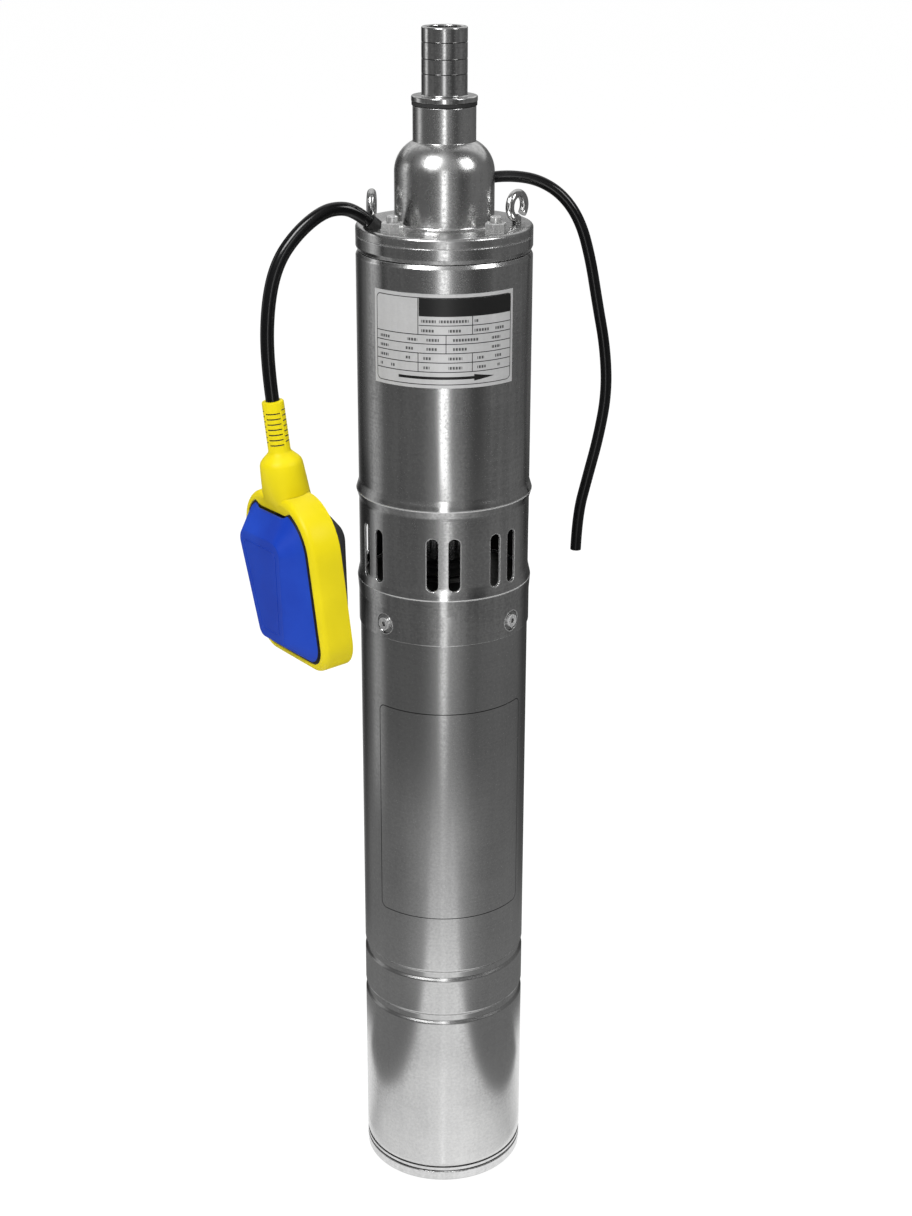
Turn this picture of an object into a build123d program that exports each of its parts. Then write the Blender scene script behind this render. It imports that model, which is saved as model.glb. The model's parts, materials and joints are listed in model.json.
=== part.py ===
from build123d import *
import math
import os

# Borehole screw pump, 4 inch size, standing on z = 0 with its axis on Z.
# Millimetres throughout. The front, where the nameplate is, faces -Y.
# A bearing angle phi is counted from the front towards +X.

os.makedirs("parts", exist_ok=True)

# Fits and clearances
fit = 0.05  # radial play between pieces that seat in each other
running = 0.06  # radial play of a turning or sliding fit
pin_play = 0.6  # radial play of the coupling rod's holes round their pins
screw_play = 0.3  # radial play of a fastener in a clearance hole

# Casing
casing_r = 48.0
shell_wall = 1.2
casing_bore = casing_r - shell_wall
inner_r = casing_bore - fit

# Heights of the stack, bottom to top
cap_rim_h = 6.7
cap_neck_h = 3.7
motor_shell_h = 347.3
collar_h = 27.1
strainer_h = 51.7
barrel_h = 133.8
notch_gap = 0.7
end_ring_rim_h = 8.0
flange_h = 5.5
bell_h = 27.4
shoulder_h = 16.1
neck_h = 18.5
gasket_h = 2.1
tail_collar_h = 3.0
tail_h = 35.0

shell_z = cap_rim_h + cap_neck_h
collar_z = shell_z + motor_shell_h
lip_z = collar_z + collar_h
bead_z = lip_z + strainer_h
barrel_top = bead_z + barrel_h
rim_z = barrel_top + notch_gap
joint_z = rim_z + end_ring_rim_h
flange_top = joint_z + flange_h
shoulder_z = flange_top + bell_h
neck_z = shoulder_z + shoulder_h
neck_top = neck_z + neck_h
tail_collar_z = neck_top + gasket_h
tail_z = tail_collar_z + tail_collar_h
top_z = tail_z + tail_h

# Head fasteners
stud_inset = 9.5  # from the casing's outside to the studs' circle
stud_circle_r = casing_r - stud_inset
stud_r = 3.0
stud_grip = 23.0
stud_stand = 8.6
nut_af = 10.0
nut_h = 5.0
stud_angles = (-45, 45, 150, 210)
eye_inset = 9.0
eye_x = casing_r - eye_inset
eye_rod_r = 2.35
eye_ring_r = 6.6
eye_grip = 24.0
eye_turn_right = 53.0
eye_turn_left = 88.0
eye_seat = 0.15
eye_opening_angle = 46.0

# Discharge side
bell_clear = 5.8  # from a nut's corners to the bell's wall
nut_corner_r = nut_af / math.sqrt(3)
bell_r = stud_circle_r - nut_corner_r - bell_clear
bell_wall = 3.0
neck_r = 16.9
thread_r = 13.0
tail_r = 12.2
tail_bore_r = 9.7
tail_collar_r = 17.65
tail_gasket_r = 17.4
tail_groove_depth = 0.35
tail_groove_w = 0.8
tail_groove_heights = (11.2, 18.9, 27.3)

# Pump element
eccentricity = 2.0
rotor_r = 10.0
rotor_pitch = 30.0
stator_play = 0.3
tube_wall = 1.5
stator_flange_clear = 1.3  # from the studs to the stator tube's flange
stator_flange_r = stud_circle_r - stud_r - stator_flange_clear
stator_flange_w = 3.25
stator_flange_h = 3.0
stator_tube_r = stator_flange_r - stator_flange_w
rubber_r = stator_tube_r - tube_wall - fit
stator_top = joint_z
rubber_inset = 2.0
rotor_overrun = 4.0

# Coupling
coupling_rise = 16.2  # from the upper housing's top to the lower pin
rod_span = 35.0
stator_rise = 16.0  # from the upper pin to the stator tube
low_pivot_z = lip_z + coupling_rise
high_pivot_z = low_pivot_z + rod_span
stator_bottom = high_pivot_z + stator_rise
head_r = 9.0
head_bore_r = 5.6
knob_r = 5.0
rod_r = 3.8
pin_r = 1.75
pin_inset = 0.3
sleeve_r = 11.0
head_half = 7.0
ball_r = 3.0
ball_gap = 0.1

# Intake strainer
lip_stand = 1.4
bead_stand = 1.5
lip_r = casing_r + lip_stand
bead_r = casing_r + bead_stand
slot_w = 6.4
slot_h = 30.6
slot_rise = 20.4  # slot centre above the lip
slot_pair_half = 7.35
slot_pair_angles = (-56, 0, 44, 96, 155, 200, 259)
slot_edge = 0.4  # rounding of the slots' outer edges

# Motor collar
collar_stand = 0.7
collar_r = casing_r + collar_stand
collar_wall = 2.2
collar_screw_rise = 8.8
collar_screw_angles = (-42.8, 51.7, 137.2, 231.7)
collar_pocket_r = 5.9
collar_pocket_depth = 1.1
collar_screw_r = 2.5
collar_screw_len = 11.0
collar_head_r = 3.6
collar_head_h = 1.9

# Motor shell's rolled-in grooves: height above the shell's foot, and depth
roll_groove_rises = (102.5, 132.0)
roll_groove_z = [shell_z + rise for rise in roll_groove_rises]
roll_groove_h = 7.0
roll_groove_depth = 1.3

# Motor
lower_bearing_rise = 127.6
upper_bearing_drop = 21.7
lower_bearing_z = shell_z + lower_bearing_rise
upper_bearing_z = collar_z - upper_bearing_drop
core_rise = 48.0  # from the lower bearing to the stator core
core_z = lower_bearing_z + core_rise
housing_drop = 6.0  # from the upper bearing to its housing's lower edge
winding_gap = 4.0
end_turn_h = 20.0
core_h = upper_bearing_z - housing_drop - winding_gap - end_turn_h - core_z
stator_bore_r = 23.0
air_gap = 0.4
core_slots = 24
core_slot_w = 3.6
core_slot_mouth = 1.6
core_slot_in = 24.5
core_back = 9.75
core_slot_out = inner_r - core_back
winding_play = 0.1
end_turn_in = 24.0
housing_wall = 5.75
end_turn_out = inner_r - housing_wall
rotor_core_r = stator_bore_r - air_gap
end_ring_h = 6.0
shaft_core_r = 8.5
shaft_r = 7.5
seal_shaft_r = 7.0

# Ball bearings 15 x 35 x 11
bearing_bore_r = shaft_r
bearing_r = 17.5
bearing_w = 11.0
bearing_ball_r = 2.97
bearing_pitch_r = 12.5
bearing_balls = 8
race_play = 0.06

# Seals
ring_section_r = 1.2
seal_chamber_r = 17.0
seal_rise = 30.0
seal_face_z = upper_bearing_z + seal_rise

# Bottom end
capacitor_r = 20.0
capacitor_z = 30.0
capacitor_h = 62.0

# Leads
float_lead_r = 3.7
power_lead_r = 3.15
gland_inset = 9.8
gland_circle_r = casing_r - gland_inset
gland_r = 5.0
gland_sink = 1.0
gland_lip = 0.7
gland_lip_len = 5.5
float_lead_phi = -66.5
float_lead_lean = 50.0
power_lead_lean = 41.0
power_gland = (-1.0, gland_circle_r)

# Float switch, in its own frame: x through the thickness (towards the front
# shell), y across the width, z up along the boot. Its origin is the boot's end.
float_side = 43.6  # out from the casing
float_drop = 88.2  # down from the flange's top
float_origin = (-casing_r - float_side, -40.0, flange_top - float_drop)
float_face_phi = -57.3
float_lean = 5.15
float_turn = 3.2
boot_r = 6.0
boot_len = 28.0
boot_slots = 14
boot_slot_first = 5.0
boot_slot_step = 1.45
boot_slot_w = 0.6
boot_slot_depth = 1.7
boot_slot_half = 3.7  # half the width of each slot, seen square on
boot_slot_turn = 145.0  # direction of the first slots, from the thickness
shoulder_r = 11.8
shoulder_fall = 8.0
shoulder_foot_r = 14.0
shoulder_foot_z = -57.0
shoulder_edge = 0.8
shoulder_round = 5.0
float_top = -51.5
float_bottom = -148.5
float_half_w = 39.3
float_top_round = 28.0
float_bottom_round = 17.0
band_half = 8.4
band_lip = 0.8  # the band's edge stands this far over the shells' foot
band_wall = 3.0
rim_step = 2.0
seam = 0.8
float_half_t = 20.7
face_top = -72.0
face_bottom = -133.0
face_half_top = 24.3
face_half_bottom = 14.0
float_wall = 2.2
panel_inset = 4.0
panel_depth = 0.4

# Float's switch gear, in the float's frame
rolling_ball_r = 7.0
rolling_ball_z = -128.0
rolling_travel = 6.5
cup_play = 0.3
cup_wall = 1.5
lever_swing = 17.19
lever_arm = 20.0
lever_reach = 26.0
lever_w = 7.0
lever_t = 0.8
lever_pin_r = 0.7
lever_rise = 13.83
button_travel = 1.0
button_r = 1.0
switch_w = 10.0
switch_h = 10.0


def bearing_plane(phi, radius, z):
    """Plane at a bearing angle, facing outwards, its own y pointing up."""
    a = math.radians(phi)
    outward = Vector(math.sin(a), -math.cos(a), 0)
    return Plane(
        origin=outward * radius + Vector(0, 0, z),
        x_dir=(math.cos(a), math.sin(a), 0),
        z_dir=outward,
    )


def turned(*points, mode=Mode.ADD):
    """Revolve a closed outline about Z. A point is (radius, z) or (radius, z, corner round)."""
    with BuildSketch(Plane.XZ) as outline:
        with BuildLine():
            Polyline(*[point[:2] for point in points], close=True)
        make_face()
        for point in points:
            if len(point) == 3:
                corner = outline.vertices().sort_by_distance(point[:2])[0]
                fillet(corner, radius=point[2])
    revolve(outline.sketch, axis=Axis.Z, mode=mode)


def tube(inner, outer, bottom, top, mode=Mode.ADD):
    """Plain ring, or a disc where inner is 0."""
    with BuildSketch(Plane.XY.offset(bottom)) as section:
        Circle(outer)
        if inner:
            Circle(inner, mode=Mode.SUBTRACT)
    extrude(section.sketch, amount=top - bottom, mode=mode)


def rods(places, radius, bottom, top, mode=Mode.ADD):
    """Upright round bars, or holes, at a list of (x, y) places."""
    with BuildSketch(Plane.XY.offset(bottom)) as section:
        with Locations(*places):
            Circle(radius)
    extrude(section.sketch, amount=top - bottom, mode=mode)


def round_places(radius, angles):
    """Places on a circle, by bearing angle."""
    return [
        (radius * math.sin(math.radians(a)), -radius * math.cos(math.radians(a)))
        for a in angles
    ]


def rounded_ring(centre_r, z):
    """O-ring of the standard section."""
    with BuildSketch(Plane.XZ) as section:
        with Locations((centre_r, z)):
            Circle(ring_section_r)
    revolve(section.sketch, axis=Axis.Z)


def ring_groove(seat_r, z, mode=Mode.SUBTRACT):
    """Outside groove for an O-ring that reaches out to seat_r."""
    half = ring_section_r + 0.4
    depth = 2 * ring_section_r + fit
    tube(seat_r - depth, seat_r + 1, z - half, z + half, mode=mode)


def write(piece, name):
    piece.part.label = name
    export_step(piece.part, f"parts/{name}.step")


stud_places = round_places(stud_circle_r, stud_angles)
eye_places = [(-eye_x, 0), (eye_x, 0)]
float_gland = round_places(gland_circle_r, [float_lead_phi])[0]
gland_places = [float_gland, power_gland]


# Bottom cap with its breather holes, diaphragm and oil plug
cap_floor_z = 9.0
cap_wall = 8.75
cap_cavity_r = inner_r - cap_wall
foot_ring_w = 20.0
diaphragm_ledge = 4.0
cap_top = 24.0
cap_ring_z = 17.0
plug_r = 5.0
plug_head_r = 8.0
plug_head_h = 3.0
breather_places = [(20 * math.cos(a), 20 * math.sin(a)) for a in (0, 2.0944, 4.1888)]

with BuildPart() as bottom_cap:
    turned(
        (0, 4.0),
        (casing_r - foot_ring_w - 2.0, 4.0, 1.0),
        (casing_r - foot_ring_w, 0),
        (casing_r, 0, 2.0),
        (casing_r, cap_rim_h, 0.6),
        (casing_r - 1.0, cap_rim_h),
        (casing_r - 1.0, cap_rim_h + 1.2),
        (casing_r - 0.1, cap_rim_h + 1.4),
        (casing_r - 0.1, cap_rim_h + 2.9),
        (casing_r - 1.0, cap_rim_h + 3.1),
        (casing_r - 1.0, shell_z),
        (inner_r, shell_z),
        (inner_r, cap_top, 0.8),
        (cap_cavity_r + 2, cap_top),
        (cap_cavity_r, cap_top - 2),
        (cap_cavity_r, cap_floor_z + 3),
        (cap_cavity_r - diaphragm_ledge, cap_floor_z + 3),
        (cap_cavity_r - diaphragm_ledge, cap_floor_z),
        (0, cap_floor_z),
    )
    ring_groove(inner_r, cap_ring_z)
    rods(breather_places, 2.0, 0, cap_floor_z, mode=Mode.SUBTRACT)
    rods([(0, 0)], plug_r + fit, 0, cap_floor_z, mode=Mode.SUBTRACT)
write(bottom_cap, "bottom_cap")

with BuildPart() as oil_plug:
    tube(0, plug_r, 4.0, cap_floor_z + 2)
    tube(0, plug_head_r, 4.0 - plug_head_h, 4.0)
    with BuildSketch(Plane.XY.offset(4.0 - plug_head_h)) as socket:
        RegularPolygon(radius=3.4, side_count=6)
    extrude(socket.sketch, amount=4.0, mode=Mode.SUBTRACT)
write(oil_plug, "oil_plug")

diaphragm_z = cap_floor_z + 3
with BuildPart() as compensation_diaphragm:
    turned(
        (0, diaphragm_z + 1),
        (cap_cavity_r - 17, diaphragm_z + 1, 1.5),
        (cap_cavity_r - 13, diaphragm_z + 8, 1.5),
        (cap_cavity_r - 9, diaphragm_z + 8, 1.5),
        (cap_cavity_r - diaphragm_ledge, diaphragm_z),
        (cap_cavity_r - fit, diaphragm_z),
        (cap_cavity_r - fit, diaphragm_z + 3, 0.8),
        (cap_cavity_r - diaphragm_ledge + 0.6, diaphragm_z + 3),
        (cap_cavity_r - 8, diaphragm_z + 9.6, 2.0),
        (cap_cavity_r - 14, diaphragm_z + 9.6, 2.0),
        (cap_cavity_r - 18, diaphragm_z + 2.4, 1.5),
        (0, diaphragm_z + 2.4),
    )
write(compensation_diaphragm, "compensation_diaphragm")


# Motor shell: a drawn tube, rolled into the lower housing's two grooves
def rolled(radius):
    """The shell's line up one side, at its outer or inner radius."""
    line = []
    for z in roll_groove_z:
        line.append((radius, z, 1.6))
        line.append((radius - roll_groove_depth, z + 1.6, 1.2))
        line.append((radius - roll_groove_depth, z + roll_groove_h - 1.6, 1.2))
        line.append((radius, z + roll_groove_h, 1.6))
    return line


with BuildPart() as motor_shell:
    turned(
        (casing_bore, shell_z),
        (casing_r - 0.5, shell_z, 0.4),
        (casing_r, shell_z + 2.2, 1.0),
        *rolled(casing_r),
        (casing_r, collar_z, 0.4),
        (casing_bore, collar_z),
        *reversed(rolled(casing_bore)),
    )
write(motor_shell, "motor_shell")

# Run capacitor and the bracket that holds it, resting on the cap
bracket_floor_z = capacitor_z - 2
bracket_web_z = 47.0
bracket_wall = 1.5
with BuildPart() as capacitor_bracket:
    turned(
        (0, bracket_floor_z),
        (capacitor_r + fit + bracket_wall, bracket_floor_z, 1.0),
        (capacitor_r + fit + bracket_wall, bracket_web_z),
        (inner_r - bracket_wall, bracket_web_z),
        (inner_r - bracket_wall, cap_top),
        (inner_r, cap_top),
        (inner_r, bracket_web_z + bracket_wall, 1.0),
        (capacitor_r + fit, bracket_web_z + bracket_wall),
        (capacitor_r + fit, capacitor_z),
        (0, capacitor_z),
    )
    with BuildSketch(Plane.XY.offset(bracket_web_z)) as windows:
        with PolarLocations((capacitor_r + inner_r) / 2, 6):
            Circle(8.0)
    extrude(windows.sketch, amount=bracket_wall, mode=Mode.SUBTRACT)
write(capacitor_bracket, "capacitor_bracket")

with BuildPart() as capacitor:
    turned(
        (0, capacitor_z),
        (capacitor_r, capacitor_z, 1.5),
        (capacitor_r, capacitor_z + capacitor_h, 1.5),
        (capacitor_r - 2.0, capacitor_z + capacitor_h),
        (capacitor_r - 2.0, capacitor_z + capacitor_h - 1.5),
        (0, capacitor_z + capacitor_h - 1.5),
    )
    with BuildSketch(Plane.XY.offset(capacitor_z + capacitor_h - 2)) as tabs:
        with Locations((-6, 0), (6, 0)):
            Rectangle(0.8, 6.3)
    extrude(tabs.sketch, amount=10)
write(capacitor, "capacitor")

# Lower bearing housing: the shell is rolled into its grooves, with an O-ring between
lower_ring_z = lower_bearing_z - 7.0
lower_housing_z = lower_bearing_z - 34.0
lower_housing_top = lower_bearing_z + 20.0
housing_in = inner_r - housing_wall
pocket_r = bearing_r + fit
with BuildPart() as lower_bearing_housing:
    groove_lines = []
    for z in roll_groove_z:
        groove_lines.append((inner_r, z - 0.5))
        groove_lines.append((inner_r - roll_groove_depth, z + 1.2))
        groove_lines.append((inner_r - roll_groove_depth, z + roll_groove_h - 1.2))
        groove_lines.append((inner_r, z + roll_groove_h + 0.5))
    turned(
        (housing_in, lower_housing_z),
        (inner_r, lower_housing_z, 0.8),
        *groove_lines,
        (inner_r, lower_housing_top, 0.8),
        (housing_in, lower_housing_top),
        (housing_in - 3.0, lower_housing_top - 6.0, 3.0),
        (pocket_r + 9.45, lower_housing_top - 6.0, 3.0),
        (pocket_r + 5.45, lower_bearing_z + bearing_w + 1.5, 1.0),
        (pocket_r, lower_bearing_z + bearing_w + 1.5),
        (pocket_r, lower_bearing_z),
        (shaft_r + 3.5, lower_bearing_z),
        (shaft_r + 3.5, lower_bearing_z - 12.0),
        (housing_in - 5.0, lower_bearing_z - 12.0, 4.0),
        (housing_in - 2.0, lower_housing_z + 8.0),
    )
    ring_groove(inner_r, lower_ring_z)
write(lower_bearing_housing, "lower_bearing_housing")

# Upper bearing housing, which also holds the shaft seal
upper_ring_z = upper_bearing_z + 5.0
upper_housing_z = upper_bearing_z - housing_drop
housing_top_r = collar_r - collar_wall - fit
seat_h = 8.0
with BuildPart() as upper_bearing_housing:
    turned(
        (pocket_r, upper_bearing_z - 4),
        (pocket_r, upper_bearing_z + bearing_w),
        (seal_chamber_r, upper_bearing_z + bearing_w),
        (seal_chamber_r, seal_face_z + seat_h),
        (seal_shaft_r + 1.4, seal_face_z + seat_h),
        (seal_shaft_r + 1.4, lip_z + 2.0),
        (18.0, lip_z + 2.0, 1.0),
        (20.0, lip_z),
        (housing_top_r, lip_z),
        (housing_top_r, collar_z),
        (inner_r, collar_z),
        (inner_r, upper_housing_z, 0.8),
        (housing_in, upper_housing_z),
        (housing_in - 2.0, upper_housing_z + 20.0, 4.0),
        (pocket_r + 7.45, upper_housing_z + 20.0, 4.0),
        (pocket_r + 4.95, upper_bearing_z - 4),
    )
    ring_groove(inner_r, upper_ring_z)
    for phi in collar_screw_angles:
        with BuildSketch(bearing_plane(phi, housing_top_r + 1, collar_z + collar_screw_rise)) as hole:
            Circle(collar_screw_r + fit)
        extrude(hole.sketch, amount=-(collar_screw_len + 1), mode=Mode.SUBTRACT)
write(upper_bearing_housing, "upper_bearing_housing")

with BuildPart() as shell_o_rings:
    for z in (cap_ring_z, lower_ring_z, upper_ring_z):
        rounded_ring(inner_r - ring_section_r, z)
write(shell_o_rings, "shell_o_rings")

# Stator core, its windings, and the turning rotor
with BuildPart() as stator_core:
    with BuildSketch(Plane.XY.offset(core_z)):
        Circle(inner_r)
        Circle(stator_bore_r, mode=Mode.SUBTRACT)
        with PolarLocations((core_slot_in + core_slot_out) / 2, core_slots):
            Rectangle(core_slot_out - core_slot_in, core_slot_w, mode=Mode.SUBTRACT)
        with PolarLocations(core_slot_in - 1, core_slots):
            Rectangle(3.0, core_slot_mouth, mode=Mode.SUBTRACT)
    extrude(amount=core_h)
write(stator_core, "stator_core")

with BuildPart() as stator_windings:
    with BuildSketch(Plane.XY.offset(core_z)):
        with PolarLocations((core_slot_in + core_slot_out) / 2, core_slots):
            Rectangle(
                core_slot_out - core_slot_in - 2 * winding_play,
                core_slot_w - 2 * winding_play,
            )
    extrude(amount=core_h)
    for face, tip in ((core_z, core_z - end_turn_h), (core_z + core_h, core_z + core_h + end_turn_h)):
        turned(
            (end_turn_in, face),
            (end_turn_in, tip, 3.0),
            (end_turn_out, tip, 6.0),
            (end_turn_out - 1.5, face),
        )
write(stator_windings, "stator_windings")

with BuildPart() as rotor_core:
    tube(shaft_core_r + fit, rotor_core_r, core_z, core_z + core_h)
write(rotor_core, "rotor_core")

with BuildPart() as rotor_end_rings:
    for z in (core_z - end_ring_h, core_z + core_h):
        tube(shaft_core_r + 4, rotor_core_r - 1, z, z + end_ring_h)
write(rotor_end_rings, "rotor_end_rings")

# Shaft, with the lower half of the pin coupling at its top
shaft_bottom = lower_bearing_z - 6
head_bottom = low_pivot_z - head_half
head_top = low_pivot_z + head_half
with BuildPart() as motor_shaft:
    turned(
        (0, shaft_bottom),
        (shaft_r - 1.5, shaft_bottom, 0.6),
        (shaft_r - 1.5, lower_bearing_z - 1),
        (shaft_r - fit, lower_bearing_z - 1),
        (shaft_r - fit, lower_bearing_z + bearing_w),
        (shaft_core_r, lower_bearing_z + bearing_w, 0.5),
        (shaft_core_r, upper_bearing_z),
        (shaft_r - fit, upper_bearing_z),
        (shaft_r - fit, upper_bearing_z + bearing_w + 0.5),
        (seal_shaft_r, upper_bearing_z + bearing_w + 0.5),
        (seal_shaft_r, head_bottom - 1.0),
        (head_r, head_bottom, 0.8),
        (head_r, head_top, 0.8),
        (head_bore_r, head_top, 0.5),
        (head_bore_r, low_pivot_z - knob_r - 0.6),
        (0, low_pivot_z - knob_r - 0.6),
    )
    with BuildSketch(Plane.XZ.offset(-head_r - 1).shift_origin((0, head_r + 1, low_pivot_z))) as cross_hole:
        Circle(pin_r + fit)
    extrude(cross_hole.sketch, amount=2 * head_r + 2, mode=Mode.SUBTRACT)
write(motor_shaft, "motor_shaft")


def cross_pin(x, z):
    """Coupling pin through a head, along Y."""
    half = head_r - pin_inset
    with BuildSketch(Plane(origin=(x, half, z), z_dir=(0, -1, 0))) as section:
        Circle(pin_r)
    extrude(section.sketch, amount=2 * half)


with BuildPart() as shaft_pin:
    cross_pin(0, low_pivot_z)
write(shaft_pin, "shaft_pin")

with BuildPart() as shaft_sleeve:
    turned(
        (head_r + fit, low_pivot_z - head_half + 1),
        (sleeve_r, low_pivot_z - head_half + 1, 0.6),
        (sleeve_r, low_pivot_z + head_half - 1, 0.6),
        (head_r + fit, low_pivot_z + head_half - 1),
    )
write(shaft_sleeve, "shaft_sleeve")


# Ball bearings
def race(bottom, inner, outer):
    """Bearing ring with its ball track."""
    tube(inner, outer, bottom, bottom + bearing_w)
    with BuildSketch(Plane.XZ) as track:
        with Locations((bearing_pitch_r, bottom + bearing_w / 2)):
            Circle(bearing_ball_r + race_play)
    revolve(track.sketch, axis=Axis.Z, mode=Mode.SUBTRACT)


def ball_row(bottom):
    """The balls of one bearing."""
    with Locations((0, 0, bottom + bearing_w / 2)):
        with PolarLocations(bearing_pitch_r, bearing_balls):
            Sphere(bearing_ball_r)


race_half = 2.0
inner_race_r = bearing_pitch_r - race_half
outer_race_r = bearing_pitch_r + race_half
for name, bottom in (("lower_bearing", lower_bearing_z), ("upper_bearing", upper_bearing_z)):
    with BuildPart() as outer_ring:
        race(bottom, outer_race_r, bearing_r)
    write(outer_ring, f"{name}_outer")
    with BuildPart() as inner_ring:
        race(bottom, bearing_bore_r, inner_race_r)
    write(inner_ring, f"{name}_inner")
    with BuildPart() as balls:
        ball_row(bottom)
    write(balls, f"{name}_balls")

# Mechanical seal: the seat is still, the ring turns under it
with BuildPart() as seal_seat:
    turned(
        (seal_shaft_r + 0.8, seal_face_z),
        (13.0, seal_face_z),
        (13.0, seal_face_z + 2),
        (seal_chamber_r - fit, seal_face_z + 2, 0.6),
        (seal_chamber_r - fit, seal_face_z + seat_h),
        (seal_shaft_r + 1.4, seal_face_z + seat_h),
        (seal_shaft_r + 0.8, seal_face_z + seat_h - 1),
    )
write(seal_seat, "seal_seat")

seal_ring_bottom = upper_bearing_z + bearing_w + 1.0
with BuildPart() as seal_ring:
    turned(
        (seal_shaft_r + fit, seal_ring_bottom),
        (14.0, seal_ring_bottom, 1.0),
        (14.0, seal_face_z - 5, 1.0),
        (12.0, seal_face_z - 3),
        (12.0, seal_face_z - fit),
        (seal_shaft_r + fit, seal_face_z - fit),
    )
write(seal_ring, "seal_ring")

with BuildPart() as sand_guard:
    turned(
        (seal_shaft_r + fit, lip_z + 2.4),
        (17.0, lip_z + 2.4, 0.4),
        (17.0, lip_z + 3.4, 0.4),
        (10.0, lip_z + 5.2, 1.0),
        (10.0, head_bottom - 1.2),
        (seal_shaft_r + fit, head_bottom - 1.2),
    )
write(sand_guard, "sand_guard")

# Coupling rod, leaning from the pump axis to the rotor's offset axis
low_pivot = Vector(0, 0, low_pivot_z)
high_pivot = Vector(eccentricity, 0, high_pivot_z)
rod_axis = Plane(origin=low_pivot, x_dir=(0, 1, 0), z_dir=high_pivot - low_pivot)
rod_length = (high_pivot - low_pivot).length
with BuildPart() as coupling_rod:
    with BuildSketch(rod_axis):
        Circle(rod_r)
    extrude(amount=rod_length)
    with Locations(Location(low_pivot), Location(high_pivot)):
        Sphere(knob_r)
    with BuildSketch(rod_axis.offset(rod_length + knob_r - 0.8)) as crown:
        Circle(knob_r)
    extrude(crown.sketch, amount=2, mode=Mode.SUBTRACT)
    for pivot in (low_pivot, high_pivot):
        with BuildSketch(Plane(origin=(pivot.X, head_r, pivot.Z), z_dir=(0, -1, 0))) as hole:
            Circle(pin_r + pin_play)
        extrude(hole.sketch, amount=2 * head_r, mode=Mode.SUBTRACT)
write(coupling_rod, "coupling_rod")

# Thrust ball between the rod's crown and the rotor head
rotor_axis = Plane.XY.shift_origin((eccentricity, 0, 0))
thrust_ball_z = high_pivot_z + knob_r - 0.8 + ball_gap + ball_r
with BuildPart() as thrust_ball:
    with Locations((eccentricity, 0, thrust_ball_z)):
        Sphere(ball_r)
write(thrust_ball, "thrust_ball")

# Screw rotor: a round section carried round its own axis, one turn per pitch
rotor_head_bottom = high_pivot_z - head_half
rotor_head_top = thrust_ball_z + ball_r + 3
helix_top = stator_top - rubber_inset + rotor_overrun
helix_h = helix_top - rotor_head_top
with BuildPart() as screw_rotor:
    with BuildSketch(rotor_axis.offset(rotor_head_bottom)) as head_section:
        Circle(head_r)
    extrude(head_section.sketch, amount=rotor_head_top - rotor_head_bottom)
    with BuildSketch(rotor_axis.offset(rotor_head_bottom)) as socket:
        Circle(head_bore_r)
    extrude(socket.sketch, amount=thrust_ball_z + ball_r + ball_gap - rotor_head_bottom, mode=Mode.SUBTRACT)
    with BuildSketch(Plane(origin=(eccentricity, head_r + 1, high_pivot_z), z_dir=(0, -1, 0))) as cross_hole:
        Circle(pin_r + fit)
    extrude(cross_hole.sketch, amount=2 * head_r + 2, mode=Mode.SUBTRACT)
    with BuildSketch(rotor_axis.offset(rotor_head_top)) as screw_section:
        with Locations((eccentricity, 0)):
            Circle(rotor_r)
    add(
        Solid.extrude_linear_with_rotation(
            screw_section.sketch.face(),
            (eccentricity, 0, rotor_head_top),
            (0, 0, helix_h),
            360 * helix_h / rotor_pitch,
        )
    )
write(screw_rotor, "screw_rotor")

with BuildPart() as rotor_pin:
    cross_pin(eccentricity, high_pivot_z)
write(rotor_pin, "rotor_pin")

with BuildPart() as rotor_sleeve:
    with BuildSketch(rotor_axis.offset(high_pivot_z - head_half + 1)):
        Circle(sleeve_r)
        Circle(head_r + fit, mode=Mode.SUBTRACT)
    extrude(amount=2 * head_half - 2)
write(rotor_sleeve, "rotor_sleeve")

# Stator: two-start spiral bore, one turn per two rotor pitches, in a steel tube
rubber_bottom = stator_bottom + rubber_inset
rubber_top = stator_top - rubber_inset
rubber_h = rubber_top - rubber_bottom
start_angle = 180 * (rubber_bottom - rotor_head_top) / rotor_pitch
with BuildPart() as rubber_stator:
    tube(0, rubber_r, rubber_bottom, rubber_top)
    with BuildSketch(Plane.XY.offset(rubber_bottom)) as bore_section:
        SlotCenterToCenter(4 * eccentricity, 2 * (rotor_r + stator_play), rotation=start_angle)
    add(
        Solid.extrude_linear_with_rotation(
            bore_section.sketch.face(),
            (0, 0, rubber_bottom),
            (0, 0, rubber_h),
            180 * rubber_h / rotor_pitch,
        ),
        mode=Mode.SUBTRACT,
    )
write(rubber_stator, "rubber_stator")

with BuildPart() as stator_tube:
    turned(
        (stator_tube_r - tube_wall, stator_bottom),
        (stator_tube_r, stator_bottom, 0.6),
        (stator_tube_r, stator_top - stator_flange_h),
        (stator_flange_r, stator_top - stator_flange_h),
        (stator_flange_r, stator_top, 0.5),
        (stator_tube_r - tube_wall, stator_top),
    )
write(stator_tube, "stator_tube")

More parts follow.
